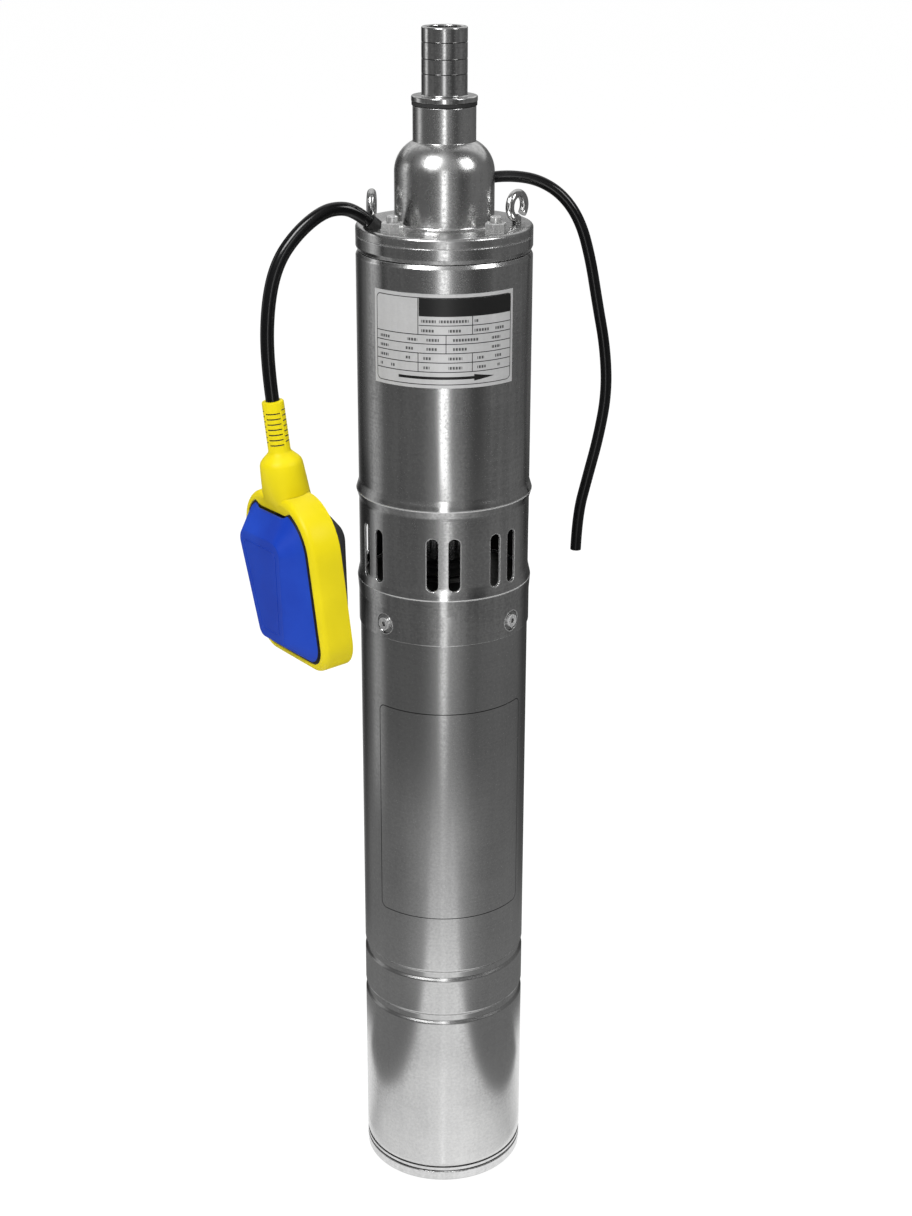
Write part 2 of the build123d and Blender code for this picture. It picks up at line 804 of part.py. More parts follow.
# Motor collar, its screws, and the intake strainer above it
with BuildPart() as motor_collar:
    turned(
        (collar_r - collar_wall, collar_z),
        (collar_r, collar_z, 0.5),
        (collar_r, lip_z - 9.0, 12.0),
        (lip_r, lip_z),
        (collar_r - collar_wall, lip_z),
    )
    for phi in collar_screw_angles:
        with BuildSketch(bearing_plane(phi, collar_r - collar_pocket_depth, collar_z + collar_screw_rise)) as pocket:
            Circle(collar_pocket_r)
        extrude(pocket.sketch, amount=collar_pocket_depth + 1, mode=Mode.SUBTRACT)
        with BuildSketch(bearing_plane(phi, collar_r, collar_z + collar_screw_rise)) as hole:
            Circle(collar_screw_r + screw_play)
        extrude(hole.sketch, amount=-(collar_wall + 1), mode=Mode.SUBTRACT)
write(motor_collar, "motor_collar")

with BuildPart() as collar_screws:
    for phi in collar_screw_angles:
        seat = bearing_plane(phi, collar_r - collar_pocket_depth, collar_z + collar_screw_rise)
        with BuildSketch(seat) as head:
            Circle(collar_head_r)
        extrude(head.sketch, amount=collar_head_h)
        with BuildSketch(seat) as shank:
            Circle(collar_screw_r)
        extrude(shank.sketch, amount=-collar_screw_len)
        with BuildSketch(seat.offset(collar_head_h)) as socket:
            RegularPolygon(radius=1.7, side_count=6)
        extrude(socket.sketch, amount=-1.4, mode=Mode.SUBTRACT)
write(collar_screws, "collar_screws")

flare_h = 6.5
bulge_h = 5.0
strainer_foot = casing_r - 3.0
with BuildPart() as intake_strainer:
    turned(
        (strainer_foot, lip_z),
        (lip_r, lip_z),
        (casing_r, lip_z + flare_h, 10.0),
        (casing_r, bead_z - bulge_h, 6.0),
        (bead_r, bead_z),
        (bead_r - shell_wall, bead_z),
        (casing_bore, bead_z - bulge_h, 6.0),
        (casing_bore, lip_z + shell_wall),
        (strainer_foot, lip_z + shell_wall),
    )
    for pair in slot_pair_angles:
        for side in (-1, 1):
            phi = pair + side * slot_pair_half
            with BuildSketch(bearing_plane(phi, casing_r + 2, lip_z + slot_rise)) as slot:
                SlotOverall(slot_h, slot_w, rotation=90)
            extrude(slot.sketch, amount=-5, mode=Mode.SUBTRACT)
    rims = [
        edge
        for edge in intake_strainer.edges()
        if edge.length < slot_h and abs(edge.center().Z - lip_z - slot_rise) < slot_h / 2 + 0.1
        and math.hypot(edge.center().X, edge.center().Y) > casing_r - 0.1
    ]
    fillet(rims, radius=slot_edge)
write(intake_strainer, "intake_strainer")

# Joint ring inside the bead, with a spider that steadies the stator tube
joint_ring_bottom = bead_z - 10
joint_ring_top = bead_z + 17
spider_h = 4.0
joint_ring_wall = 3.0
with BuildPart() as joint_ring:
    turned(
        (inner_r - joint_ring_wall, joint_ring_bottom),
        (inner_r, joint_ring_bottom, 0.8),
        (inner_r, joint_ring_top),
        (inner_r - joint_ring_wall, joint_ring_top),
    )
    tube(stator_tube_r + fit, inner_r - joint_ring_wall + 1, joint_ring_top, joint_ring_top + spider_h)
    tube(inner_r - joint_ring_wall, inner_r, joint_ring_top, joint_ring_top + spider_h)
    with BuildSketch(Plane.XY.offset(joint_ring_top)) as windows:
        with PolarLocations((stator_tube_r + inner_r - joint_ring_wall) / 2, 8):
            Circle(4.0)
    extrude(windows.sketch, amount=spider_h, mode=Mode.SUBTRACT)
write(joint_ring, "joint_ring")

# Barrel with its flared foot and rolled-in top, and the ring it is rolled onto
roll_depth = 1.1
roll_h = 2.0
with BuildPart() as barrel:
    turned(
        (bead_r - shell_wall, bead_z),
        (bead_r, bead_z),
        (casing_r, bead_z + bulge_h, 6.0),
        (casing_r, barrel_top - roll_h, 1.6),
        (casing_r - roll_depth, barrel_top),
        (casing_bore - roll_depth, barrel_top),
        (casing_bore - roll_depth, barrel_top - roll_h + 0.6),
        (casing_bore, barrel_top - roll_h - 1.0),
        (casing_bore, bead_z + bulge_h, 6.0),
    )
write(barrel, "barrel")

end_ring_h = 27.0
end_ring_bottom = joint_z - end_ring_h
with BuildPart() as barrel_end_ring:
    turned(
        (stator_tube_r + fit, end_ring_bottom),
        (inner_r, end_ring_bottom, 1.0),
        (inner_r, barrel_top - roll_h - 1.8),
        (casing_bore - roll_depth - fit, barrel_top - roll_h),
        (casing_bore - roll_depth - fit, rim_z),
        (casing_r - roll_depth, rim_z),
        (casing_r, rim_z + 2.2, 0.8),
        (casing_r, joint_z, 0.3),
        (stator_flange_r + fit, joint_z),
        (stator_flange_r + fit, stator_top - stator_flange_h),
        (stator_tube_r + fit, stator_top - stator_flange_h),
    )
    rods(stud_places, stud_r + fit, end_ring_bottom, joint_z, mode=Mode.SUBTRACT)
    rods(eye_places, eye_rod_r + fit, end_ring_bottom, joint_z, mode=Mode.SUBTRACT)
    rods(gland_places, float_lead_r - 0.2, end_ring_bottom, joint_z, mode=Mode.SUBTRACT)
write(barrel_end_ring, "barrel_end_ring")

# Discharge head: flange, bell, shoulder and neck turned in one piece
head_ring_r = rubber_r + ring_section_r + 0.2
head_groove_half = ring_section_r + 0.2
shoulder_drop = 5.5
with BuildPart() as discharge_head:
    turned(
        (bell_r - bell_wall, joint_z),
        (casing_r, joint_z, 0.3),
        (casing_r, flange_top, 1.8),
        (bell_r, flange_top, 2.0),
        (bell_r, neck_z - shoulder_drop, 18.0),
        (neck_r, neck_z, 0.6),
        (neck_r, neck_top, 0.5),
        (thread_r + fit, neck_top),
        (thread_r + fit, neck_z - 2.0),
        (bell_r - bell_wall, neck_z - shoulder_drop - 5.0, 12.0),
    )
    tube(
        head_ring_r - head_groove_half,
        head_ring_r + head_groove_half,
        joint_z,
        joint_z + 2 * ring_section_r + fit,
        mode=Mode.SUBTRACT,
    )
    rods(stud_places, stud_r + screw_play, joint_z, flange_top, mode=Mode.SUBTRACT)
    rods(eye_places, eye_rod_r + screw_play, joint_z, flange_top, mode=Mode.SUBTRACT)
    rods(gland_places, gland_r + fit, joint_z, flange_top, mode=Mode.SUBTRACT)
write(discharge_head, "discharge_head")

with BuildPart() as head_o_ring:
    rounded_ring(head_ring_r, joint_z + ring_section_r)
write(head_o_ring, "head_o_ring")

# Head studs and their nuts, straight on the flange
with BuildPart() as head_studs:
    rods(stud_places, stud_r, flange_top - stud_grip, flange_top + stud_stand)
    chamfer(head_studs.faces().filter_by(Axis.Z).edges(), length=0.6)
write(head_studs, "head_studs")

with BuildPart() as head_nuts:
    for place in stud_places:
        with BuildSketch(Plane.XY.offset(flange_top)) as hexagon:
            with Locations(place):
                RegularPolygon(radius=nut_af / 2, side_count=6, major_radius=False, rotation=15)
                Circle(stud_r + fit, mode=Mode.SUBTRACT)
        extrude(hexagon.sketch, amount=nut_h)
write(head_nuts, "head_nuts")


# Lifting eyes: a bent rod whose end closes on its own shank
def lifting_eye(x, turn):
    """Eye over a shank at x, its face turned from the front by turn degrees."""
    eye_z = flange_top + eye_seat + eye_rod_r + eye_ring_r
    face = Plane(
        origin=(x, 0, eye_z),
        x_dir=(math.cos(math.radians(turn)), math.sin(math.radians(turn)), 0),
        z_dir=(math.sin(math.radians(turn)), -math.cos(math.radians(turn)), 0),
    )
    with BuildLine(face) as loop:
        CenterArc((0, 0), eye_ring_r, -90, -(360 - eye_opening_angle))
    with BuildSketch(Plane(origin=loop.line @ 0, z_dir=loop.line % 0)) as section:
        Circle(eye_rod_r)
    sweep(section.sketch, path=loop.line)
    rods([(x, 0)], eye_rod_r, flange_top - eye_grip, eye_z - eye_ring_r)
    with Locations((x, 0, eye_z - eye_ring_r)):
        Sphere(eye_rod_r)


with BuildPart() as lifting_eye_left:
    lifting_eye(-eye_x, eye_turn_left)
write(lifting_eye_left, "lifting_eye_left")

with BuildPart() as lifting_eye_right:
    lifting_eye(eye_x, eye_turn_right)
write(lifting_eye_right, "lifting_eye_right")

# Hose tail and its gasket
with BuildPart() as tail_gasket:
    turned(
        (thread_r + fit, neck_top),
        (tail_gasket_r, neck_top, 0.4),
        (tail_gasket_r, tail_collar_z, 0.4),
        (thread_r + fit, tail_collar_z),
    )
write(tail_gasket, "tail_gasket")

thread_len = 13.0
with BuildPart() as hose_tail:
    turned(
        (tail_bore_r, neck_top - thread_len),
        (thread_r, neck_top - thread_len, 0.8),
        (thread_r, tail_collar_z),
        (tail_collar_r, tail_collar_z, 0.5),
        (tail_collar_r, tail_z, 0.8),
        (tail_r, tail_z, 0.8),
        (tail_r, top_z, 0.8),
        (tail_bore_r, top_z, 0.8),
    )
    for rise in tail_groove_heights:
        middle = tail_z + rise
        turned(
            (tail_r - tail_groove_depth, middle),
            (tail_r + 1, middle - tail_groove_w * 1.2),
            (tail_r + 1, middle + tail_groove_w * 1.2),
            mode=Mode.SUBTRACT,
        )
write(hose_tail, "hose_tail")

# Foil nameplate, bent round the barrel's front
plate_drop = 14.5  # below the barrel's top
plate_h = 50.4
plate_bottom = barrel_top - plate_drop - plate_h
plate_half_angle = 49.0
plate_t = 0.3
plate_glue = 0.1
plate_start = bearing_plane(-plate_half_angle, 0, 0)
with BuildPart() as nameplate:
    with BuildSketch(Plane(origin=(0, 0, 0), x_dir=plate_start.z_dir, z_dir=-plate_start.x_dir)) as foil:
        with Locations((casing_r + plate_glue + plate_t / 2, plate_bottom + plate_h / 2)):
            Rectangle(plate_t, plate_h)
    revolve(foil.sketch, axis=Axis.Z, revolution_arc=2 * plate_half_angle)
write(nameplate, "nameplate")


# Float switch frame of reference
phi = math.radians(float_face_phi)
lean = math.radians(float_lean)
turn = math.radians(float_turn)
facing = Vector(math.sin(phi), -math.cos(phi), 0)
upright = Vector(0, 0, 1)
thickness_dir = facing * math.cos(lean) - upright * math.sin(lean)
tilted_up = upright * math.cos(lean) + facing * math.sin(lean)
side_dir = tilted_up.cross(thickness_dir)
up_dir = tilted_up * math.cos(turn) - side_dir * math.sin(turn)
width_dir = up_dir.cross(thickness_dir)


def float_point(x, y, z):
    """A point of the float's own frame, in the pump's."""
    return Vector(*float_origin) + thickness_dir * x + width_dir * y + up_dir * z


def across(z):
    """Plane square to the boot: its x is the thickness, its y the width."""
    return Plane(origin=float_point(0, 0, z), x_dir=thickness_dir, z_dir=up_dir)


def facewise(x):
    """Plane facing out of the front shell: its x is the width, its y is up."""
    return Plane(origin=float_point(x, 0, 0), x_dir=width_dir, z_dir=thickness_dir)


# Lead glands: a grommet in the flange with a short lip leaning the way its lead goes
def lean_plane(place, direction, lean, lead_r):
    """Plane where a lead leaves its gland's lip, facing along the lead and clear of the flange."""
    lean = math.radians(lean)
    along = Vector(*direction, 0) * math.sin(lean) + Vector(0, 0, math.cos(lean))
    foot = Vector(place[0], place[1], flange_top - gland_sink)
    rise = gland_sink + (lead_r + gland_lip) * math.sin(lean) + fit
    return Plane(origin=foot + along * (rise / math.cos(lean)), z_dir=along)


def gland(place, exit_plane, lead_r):
    """Grommet with its lip, trimmed where the lip would foul the flange beside its hole."""
    rods([place], gland_r, joint_z, flange_top)
    with BuildSketch(exit_plane) as lip:
        Circle(lead_r + gland_lip)
    extrude(lip.sketch, amount=-gland_lip_len)
    with BuildSketch(Plane.XY.offset(joint_z)) as beside:
        with Locations(place):
            Circle(2 * gland_r)
            Circle(gland_r, mode=Mode.SUBTRACT)
    extrude(beside.sketch, amount=flange_h, mode=Mode.SUBTRACT)


float_out = Vector(math.sin(math.radians(float_lead_phi)), -math.cos(math.radians(float_lead_phi)))
float_exit = lean_plane(float_gland, (float_out.X, float_out.Y), float_lead_lean, float_lead_r)
power_exit = lean_plane(power_gland, (1, 0), power_lead_lean, power_lead_r)

with BuildPart() as float_gland_piece:
    gland(float_gland, float_exit, float_lead_r)
write(float_gland_piece, "float_gland")

with BuildPart() as power_gland_piece:
    gland(power_gland, power_exit, power_lead_r)
write(power_gland_piece, "power_gland")


# Leads: straight runs joined by arcs as large as the runs allow
def lead(points, radius, name):
    corners = [Vector(*p) for p in points]
    radii = []
    for a, b, c in zip(corners, corners[1:], corners[2:]):
        turn = math.radians((b - a).get_angle(c - b))
        radii.append(0.45 * min((b - a).length, (c - b).length) / math.tan(turn / 2))
    with BuildLine() as path:
        FilletPolyline(*corners, radius=radii)
    with BuildSketch(Plane(origin=path.line @ 0, z_dir=path.line % 0)) as section:
        Circle(radius)
    sweep(section.sketch, path=path.line)
    length = sum(edge.length for edge in path.edges())
    print(name, "length", round(length, 1), "radii", [round(r) for r in radii])
    print(name, "section times length", round(math.pi * radius**2 * length))


# Float lead: leaves its gland and ends in the boot, both square to them. Between
# those, its points lie in one upright plane: (distance from the casing, height
# above the flange).
float_lead_route = [
    (9.9, 11.9),
    (21.5, 10.5),
    (36.0, 0.0),
    (47.3, -14.6),
    (53.0, -35.8),
]
float_lead_points = [
    tuple(float_exit.origin),
    tuple(float_exit.origin + float_exit.z_dir * 7.6),
    *[
        ((casing_r + out) * float_out.X, (casing_r + out) * float_out.Y, flange_top + rise)
        for out, rise in float_lead_route
    ],
    tuple(float_point(0, 0, 22.8)),
    float_origin,
]
with BuildPart() as float_cable:
    lead(float_lead_points, float_lead_r, "float_cable")
write(float_cable, "float_cable")

# Power lead: (to the right, inwards from the casing's back, height above the flange)
power_lead_route = [
    (22.0, 11.2, 18.1),
    (37.0, 11.8, 19.5),
    (52.0, 12.5, 17.3),
    (65.5, 13.2, 9.0),
    (75.5, 13.8, -5.5),
    (81.5, 14.4, -26.5),
    (86.0, 15.0, -51.5),
    (91.0, 15.6, -76.5),
    (92.6, 16.2, -102.5),
    (88.6, 16.7, -128.5),
    (82.6, 17.2, -153.5),
    (77.6, 17.6, -175.5),
    (77.0, 18.0, -196.5),
]
power_lead_points = [
    tuple(power_exit.origin),
    tuple(power_exit.origin + power_exit.z_dir * 12),
    *[(x, casing_r - inset, flange_top + rise) for x, inset, rise in power_lead_route],
]
with BuildPart() as power_cable:
    lead(power_lead_points, power_lead_r, "power_cable")
write(power_cable, "power_cable")


def body_outline(plane, inset):
    """Sketch of the float's outline seen from its face."""
    top = float_top - inset
    bottom = float_bottom + inset
    with BuildSketch(plane) as outline:
        with Locations((0, (top + bottom) / 2)):
            Rectangle(2 * (float_half_w - inset), top - bottom)
        fillet(outline.vertices().group_by(Axis.Y)[-1], radius=float_top_round - inset)
        fillet(outline.vertices().group_by(Axis.Y)[0], radius=float_bottom_round - inset)
    return outline.sketch


def face_outline(plane, inset):
    """Sketch of the shell's flat face, wider at the top than at the bottom."""
    top = face_top - inset
    bottom = face_bottom + inset
    half_top = face_half_top - inset
    half_bottom = face_half_bottom - inset * 0.8
    with BuildSketch(plane) as outline:
        with BuildLine():
            Polyline(
                (-half_top, top),
                (half_top, top),
                (half_bottom, bottom),
                (-half_bottom, bottom),
                close=True,
            )
        make_face()
        fillet(outline.vertices().group_by(Axis.Y)[-1], radius=7.0 - inset * 0.8)
        fillet(outline.vertices().group_by(Axis.Y)[0], radius=5.0 - inset * 0.6)
    return outline.sketch


def shell_block(start, end, inset):
    """Solid block between the band and the flat face."""
    base = body_outline(facewise(start), rim_step + inset)
    top = face_outline(facewise(end), inset)
    return loft([base, top], mode=Mode.PRIVATE)


def shoulder_block(grow, mode):
    """Round shoulder between the boot and the body, grown for its clearance."""
    profile = Plane(origin=float_origin, x_dir=thickness_dir, z_dir=-width_dir)
    with BuildSketch(profile) as half:
        with BuildLine():
            Polyline(
                (0, -boot_len + 1 + grow),
                (boot_r + grow, -boot_len + 1 + grow),
                (shoulder_r + grow, -boot_len - shoulder_fall),
                (shoulder_foot_r + grow, shoulder_foot_z),
                (shoulder_foot_r + grow - shoulder_edge, shoulder_foot_z - shoulder_edge - grow),
                (0, shoulder_foot_z - shoulder_edge - grow),
                close=True,
            )
        make_face()
        brow = half.vertices().sort_by_distance((shoulder_r + grow, -boot_len - shoulder_fall))[0]
        fillet(brow, radius=shoulder_round)
    revolve(half.sketch, axis=Axis(origin=float_origin, direction=up_dir), mode=mode)


def float_shell(sign):
    """One half shell, on the side that sign gives, hollow and open to the band."""
    block = shell_block(sign * band_half, sign * float_half_t, 0)
    hollow = shell_block(sign * (band_half - 1.0), sign * (float_half_t - float_wall), float_wall)
    add(block)
    add(hollow, mode=Mode.SUBTRACT)
    shoulder_block(0.4, Mode.SUBTRACT)


with BuildPart() as float_front_shell:
    float_shell(1)
    panel = face_outline(facewise(float_half_t), panel_inset)
    extrude(panel, amount=-panel_depth, mode=Mode.SUBTRACT)
write(float_front_shell, "float_front_shell")

with BuildPart() as float_rear_shell:
    float_shell(-1)
write(float_rear_shell, "float_rear_shell")

with BuildPart() as float_frame:
    lip_half = band_half + band_lip
    extrude(body_outline(facewise(-lip_half), 0), amount=2 * lip_half)
    for face in (-lip_half, band_half):
        extrude(body_outline(facewise(face), rim_step - seam), amount=band_lip, mode=Mode.SUBTRACT)
    shoulder_block(0, Mode.ADD)
    cavity = body_outline(facewise(-lip_half), band_wall)
    extrude(cavity, amount=2 * lip_half, mode=Mode.SUBTRACT)
    with BuildSketch(across(-boot_len)) as boot:
        Circle(boot_r)
    extrude(boot.sketch, amount=boot_len)
    # Slots in facing pairs, each pair square to the one above
    for i in range(boot_slots):
        turn = boot_slot_turn + 90 * (i % 2)
        with BuildSketch(across(-boot_slot_first - boot_slot_step * i)) as slot:
            Circle(boot_r + 1)
            Circle(boot_r - boot_slot_depth, mode=Mode.SUBTRACT)
            Rectangle(3 * boot_r, 2 * boot_slot_half, rotation=turn, mode=Mode.INTERSECT)
        extrude(slot.sketch, amount=boot_slot_w, mode=Mode.SUBTRACT)
write(float_frame, "float_frame")

# Switch gear inside the float: the ball lies in its cup while the float hangs
pivot_z = rolling_ball_z + lever_rise
cup_r = rolling_ball_r + cup_play
carrier_x = -band_half + 0.1
carrier_t = -carrier_x - rolling_ball_r - cup_play
carrier_mid = -109.0
carrier_h = 44.0
switch_floor = pivot_z + 1.6
inner_half_w = float_half_w - band_wall - fit

with BuildPart() as switch_carrier:
    with BuildSketch(facewise(carrier_x)) as plate:
        with Locations((0, carrier_mid)):
            Rectangle(2 * inner_half_w, carrier_h)
    extrude(plate.sketch, amount=carrier_t)
    with BuildSketch(across(rolling_ball_z - rolling_ball_r - 2)) as cup:
        Circle(cup_r + cup_wall)
    extrude(cup.sketch, amount=rolling_ball_r + 6)
    with BuildSketch(across(rolling_ball_z - rolling_ball_r - 0.1)) as cup_bore:
        Circle(cup_r)
    extrude(cup_bore.sketch, amount=rolling_ball_r + 6, mode=Mode.SUBTRACT)
    with BuildSketch(facewise(carrier_x + carrier_t)) as pad:
        with Locations((lever_arm - 7, switch_floor + switch_h / 2)):
            Rectangle(switch_h, switch_h - 2)
    extrude(pad.sketch, amount=-switch_w / 2 - fit - carrier_x - carrier_t)
write(switch_carrier, "switch_carrier")

with BuildPart() as rolling_ball:
    with Locations(Location(float_point(0, 0, rolling_ball_z))):
        Sphere(rolling_ball_r)
write(rolling_ball, "rolling_ball")

ear_t = 1.2
button_y = lever_arm - 4
with BuildPart() as microswitch:
    with BuildSketch(across(switch_floor)) as case:
        with Locations((0, lever_arm - 7)):
            Rectangle(switch_w, 20)
    extrude(case.sketch, amount=switch_h)
    with BuildSketch(across(pivot_z - 1.6)) as ears:
        with Locations((switch_w / 2 - ear_t / 2, lever_arm), (-switch_w / 2 + ear_t / 2, lever_arm)):
            Rectangle(ear_t, 4)
    extrude(ears.sketch, amount=3.2)
    with BuildSketch(facewise(-switch_w / 2)) as pivot_hole:
        with Locations((lever_arm, pivot_z)):
            Circle(lever_pin_r + running)
    extrude(pivot_hole.sketch, amount=switch_w, mode=Mode.SUBTRACT)
    with BuildSketch(across(switch_floor)) as button_hole:
        with Locations((0, button_y)):
            Circle(button_r + running)
    extrude(button_hole.sketch, amount=button_travel + 2.2, mode=Mode.SUBTRACT)
write(microswitch, "microswitch")

swing = math.radians(lever_swing)
lever_along = -width_dir * math.cos(swing) - up_dir * math.sin(swing)
lever_up = up_dir * math.cos(swing) - width_dir * math.sin(swing)
lever_pivot = float_point(0, lever_arm, pivot_z)
with BuildPart() as switch_lever:
    with BuildSketch(Plane(origin=lever_pivot, x_dir=thickness_dir, z_dir=lever_up)) as blade:
        with Locations((0, -lever_reach / 2)):
            Rectangle(lever_w, lever_reach)
    extrude(blade.sketch, amount=lever_t)
    with BuildSketch(Plane(origin=lever_pivot - thickness_dir * (switch_w / 2), z_dir=thickness_dir)) as pin:
        Circle(lever_pin_r)
    extrude(pin.sketch, amount=switch_w)
    with BuildSketch(Plane(origin=lever_pivot - thickness_dir * (lever_w / 2), z_dir=thickness_dir)) as knuckle:
        Circle(lever_t + 0.5)
    extrude(knuckle.sketch, amount=lever_w)
write(switch_lever, "switch_lever")

near_edge = lever_arm - button_y - button_r
button_tip = pivot_z - near_edge * math.tan(swing) + lever_t / math.cos(swing) + 0.3
with BuildPart() as switch_button:
    with BuildSketch(across(button_tip)) as stem:
        with Locations((0, button_y)):
            Circle(button_r)
    extrude(stem.sketch, amount=switch_floor + 2.0 - button_tip)
write(switch_button, "switch_button")
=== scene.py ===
import bpy
import bmesh
import json
import math
from functools import partial
from mathutils import Matrix, Vector


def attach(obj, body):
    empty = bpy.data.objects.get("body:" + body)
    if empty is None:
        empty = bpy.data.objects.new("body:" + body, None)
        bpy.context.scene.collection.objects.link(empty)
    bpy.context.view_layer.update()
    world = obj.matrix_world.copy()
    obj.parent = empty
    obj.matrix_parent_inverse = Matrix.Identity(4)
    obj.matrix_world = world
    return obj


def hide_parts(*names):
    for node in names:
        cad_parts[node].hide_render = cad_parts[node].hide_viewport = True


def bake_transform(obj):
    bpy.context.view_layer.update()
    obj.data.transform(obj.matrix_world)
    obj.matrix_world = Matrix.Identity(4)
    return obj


# Borehole screw pump, dressed. Metres, in the CAD's own frame: the pump stands on z = 0.
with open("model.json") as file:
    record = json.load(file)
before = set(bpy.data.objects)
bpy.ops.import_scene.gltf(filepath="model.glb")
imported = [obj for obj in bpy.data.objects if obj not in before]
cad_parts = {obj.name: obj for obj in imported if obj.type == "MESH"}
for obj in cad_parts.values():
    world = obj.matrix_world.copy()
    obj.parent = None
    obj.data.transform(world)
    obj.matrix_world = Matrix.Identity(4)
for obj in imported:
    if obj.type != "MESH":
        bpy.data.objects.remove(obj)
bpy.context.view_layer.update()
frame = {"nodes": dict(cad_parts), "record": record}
scene = bpy.context.scene
scene.view_settings.view_transform = "Standard"

MM = 0.001


def put_in_scene(name, data):
    """A new object of this data, in the scene."""
    thing = bpy.data.objects.new(name, data)
    scene.collection.objects.link(thing)
    return thing


def final_mesh(thing):
    """The mesh of an object with its curve or its modifiers worked out."""
    return bpy.data.meshes.new_from_object(thing.evaluated_get(bpy.context.evaluated_depsgraph_get()))


# Camera: the photograph's place and lens, looking along +Y and 21 degrees down
camera_place = (6.97 * MM, -1089.4 * MM, 782.6 * MM)
camera_down = 21.1
camera_roll = 0.19
lens_data = bpy.data.cameras.new("photo_camera")
lens_data.lens = 59.85
lens_data.sensor_width = 36.0
lens_data.clip_end = 60.0
camera = put_in_scene("photo_camera", lens_data)
camera.matrix_world = (
    Matrix.Translation(camera_place)
    @ Matrix.Rotation(math.radians(90 - camera_down), 4, "X")
    @ Matrix.Rotation(math.radians(camera_roll), 4, "Z")
)
scene.camera = camera


# Float's own directions: out through its blue face, across its width and up along its boot
float_origin = Vector((-91.6, -40.0, 496.3))
float_face_angle = math.radians(-57.3)
float_lean = math.radians(5.15)
float_turn = math.radians(3.2)
facing = Vector((math.sin(float_face_angle), -math.cos(float_face_angle), 0))
upright = Vector((0, 0, 1))
thickness_dir = facing * math.cos(float_lean) - upright * math.sin(float_lean)
tilted_up = upright * math.cos(float_lean) + facing * math.sin(float_lean)
side_dir = tilted_up.cross(thickness_dir)
boot_dir = tilted_up * math.cos(float_turn) - side_dir * math.sin(float_turn)
width_dir = boot_dir.cross(thickness_dir)


# Node helpers: a value may be a number, a colour or another node's socket
def grey(level):
    return (level, level, level)


def feed(tree, socket, value):
    """Link another socket to this one, or set it to a number or a colour."""
    if isinstance(value, bpy.types.NodeSocket):
        tree.links.new(value, socket)
    elif isinstance(value, tuple):
        socket.default_value = (*value, 1.0)
    else:
        socket.default_value = value


def new_material(name):
    material = bpy.data.materials.new(name)
    material.use_nodes = True
    tree = material.node_tree
    return material, tree, tree.nodes["Principled BSDF"]


def new_group(name, inputs, outputs):
    """An empty shader group with named sockets."""
    tree = bpy.data.node_groups.new(name, "ShaderNodeTree")
    for label, default in inputs:
        kind = "NodeSocketFloat" if isinstance(default, float) else "NodeSocketColor"
        socket = tree.interface.new_socket(label, in_out="INPUT", socket_type=kind)
        socket.default_value = default
    for label, kind in outputs:
        tree.interface.new_socket(label, in_out="OUTPUT", socket_type=kind)
    given = tree.nodes.new("NodeGroupInput").outputs
    out = tree.nodes.new("NodeGroupOutput").inputs
    return tree, given, out


def place_group(tree, group, **values):
    """A node group placed in a material, with its own values and links."""
    node = tree.nodes.new("ShaderNodeGroup")
    node.node_tree = group
    for name, value in values.items():
        feed(tree, node.inputs[name.replace("_", " ")], value)
    return node.outputs


def math_node(tree, operation, *values):
    node = tree.nodes.new("ShaderNodeMath")
    node.operation = operation
    for socket, value in zip(node.inputs, values):
        feed(tree, socket, value)
    return node.outputs[0]


def map_range(tree, value, low, high, first=0.0, last=1.0, kind="LINEAR"):
    """First at low to last at high, held beyond them; low may be the larger."""
    node = tree.nodes.new("ShaderNodeMapRange")
    node.interpolation_type = kind
    ends = (("From Min", low), ("From Max", high), ("To Min", first), ("To Max", last))
    for name, given in (("Value", value), *ends):
        feed(tree, node.inputs[name], given)
    return node.outputs["Result"]


def spread(tree, value, first, last, reach=0.2):
    """Carry a noise from around its middle onto first to last."""
    return map_range(tree, value, 0.5 - reach, 0.5 + reach, first, last)


def smooth_step(tree, value, low, high):
    """0 at low to 1 at high, eased."""
    return map_range(tree, value, low, high, kind="SMOOTHSTEP")


def colour_mix(tree, share, first, second):
    """The first colour where the share is 0, the second where it is 1."""
    node = tree.nodes.new("ShaderNodeMix")
    node.data_type = "RGBA"
    for number, value in ((0, share), (6, first), (7, second)):
        feed(tree, node.inputs[number], value)
    return node.outputs[2]


def value_mix(tree, share, first, second):
    """The first value where the share is 0, the second where it is 1."""
    node = tree.nodes.new("ShaderNodeMix")
    for number, value in ((0, share), (2, first), (3, second)):
        feed(tree, node.inputs[number], value)
    return node.outputs[0]


def noise(tree, place, scale, detail):
    """A cloudy value over a place."""
    node = tree.nodes.new("ShaderNodeTexNoise")
    for name, value in (("Vector", place), ("Scale", scale), ("Detail", detail)):
        feed(tree, node.inputs[name], value)
    return node.outputs["Fac"]


def object_place(tree):
    return tree.nodes.new("ShaderNodeTexCoord").outputs["Object"]


def split(tree, place):
    """X, Y and Z of a place."""
    parts = tree.nodes.new("ShaderNodeSeparateXYZ")
    tree.links.new(place, parts.inputs[0])
    return parts.outputs


def join(tree, x, y, z):
    """A place from its X, Y and Z."""
    whole = tree.nodes.new("ShaderNodeCombineXYZ")
    for socket, value in zip(whole.inputs, (x, y, z)):
        feed(tree, socket, value)
    return whole.outputs[0]


def turn_from_front(tree, x, y):
    """Angle round the pump's axis in radians, from the front towards +X."""
    return math_node(tree, "ARCTAN2", x, math_node(tree, "MULTIPLY", y, -1.0))


def length_of(tree, across, up):
    """Length of a line that goes so far across and so far up."""
    squares = [math_node(tree, "POWER", side, 2.0) for side in (across, up)]
    return math_node(tree, "SQRT", math_node(tree, "ADD", *squares))


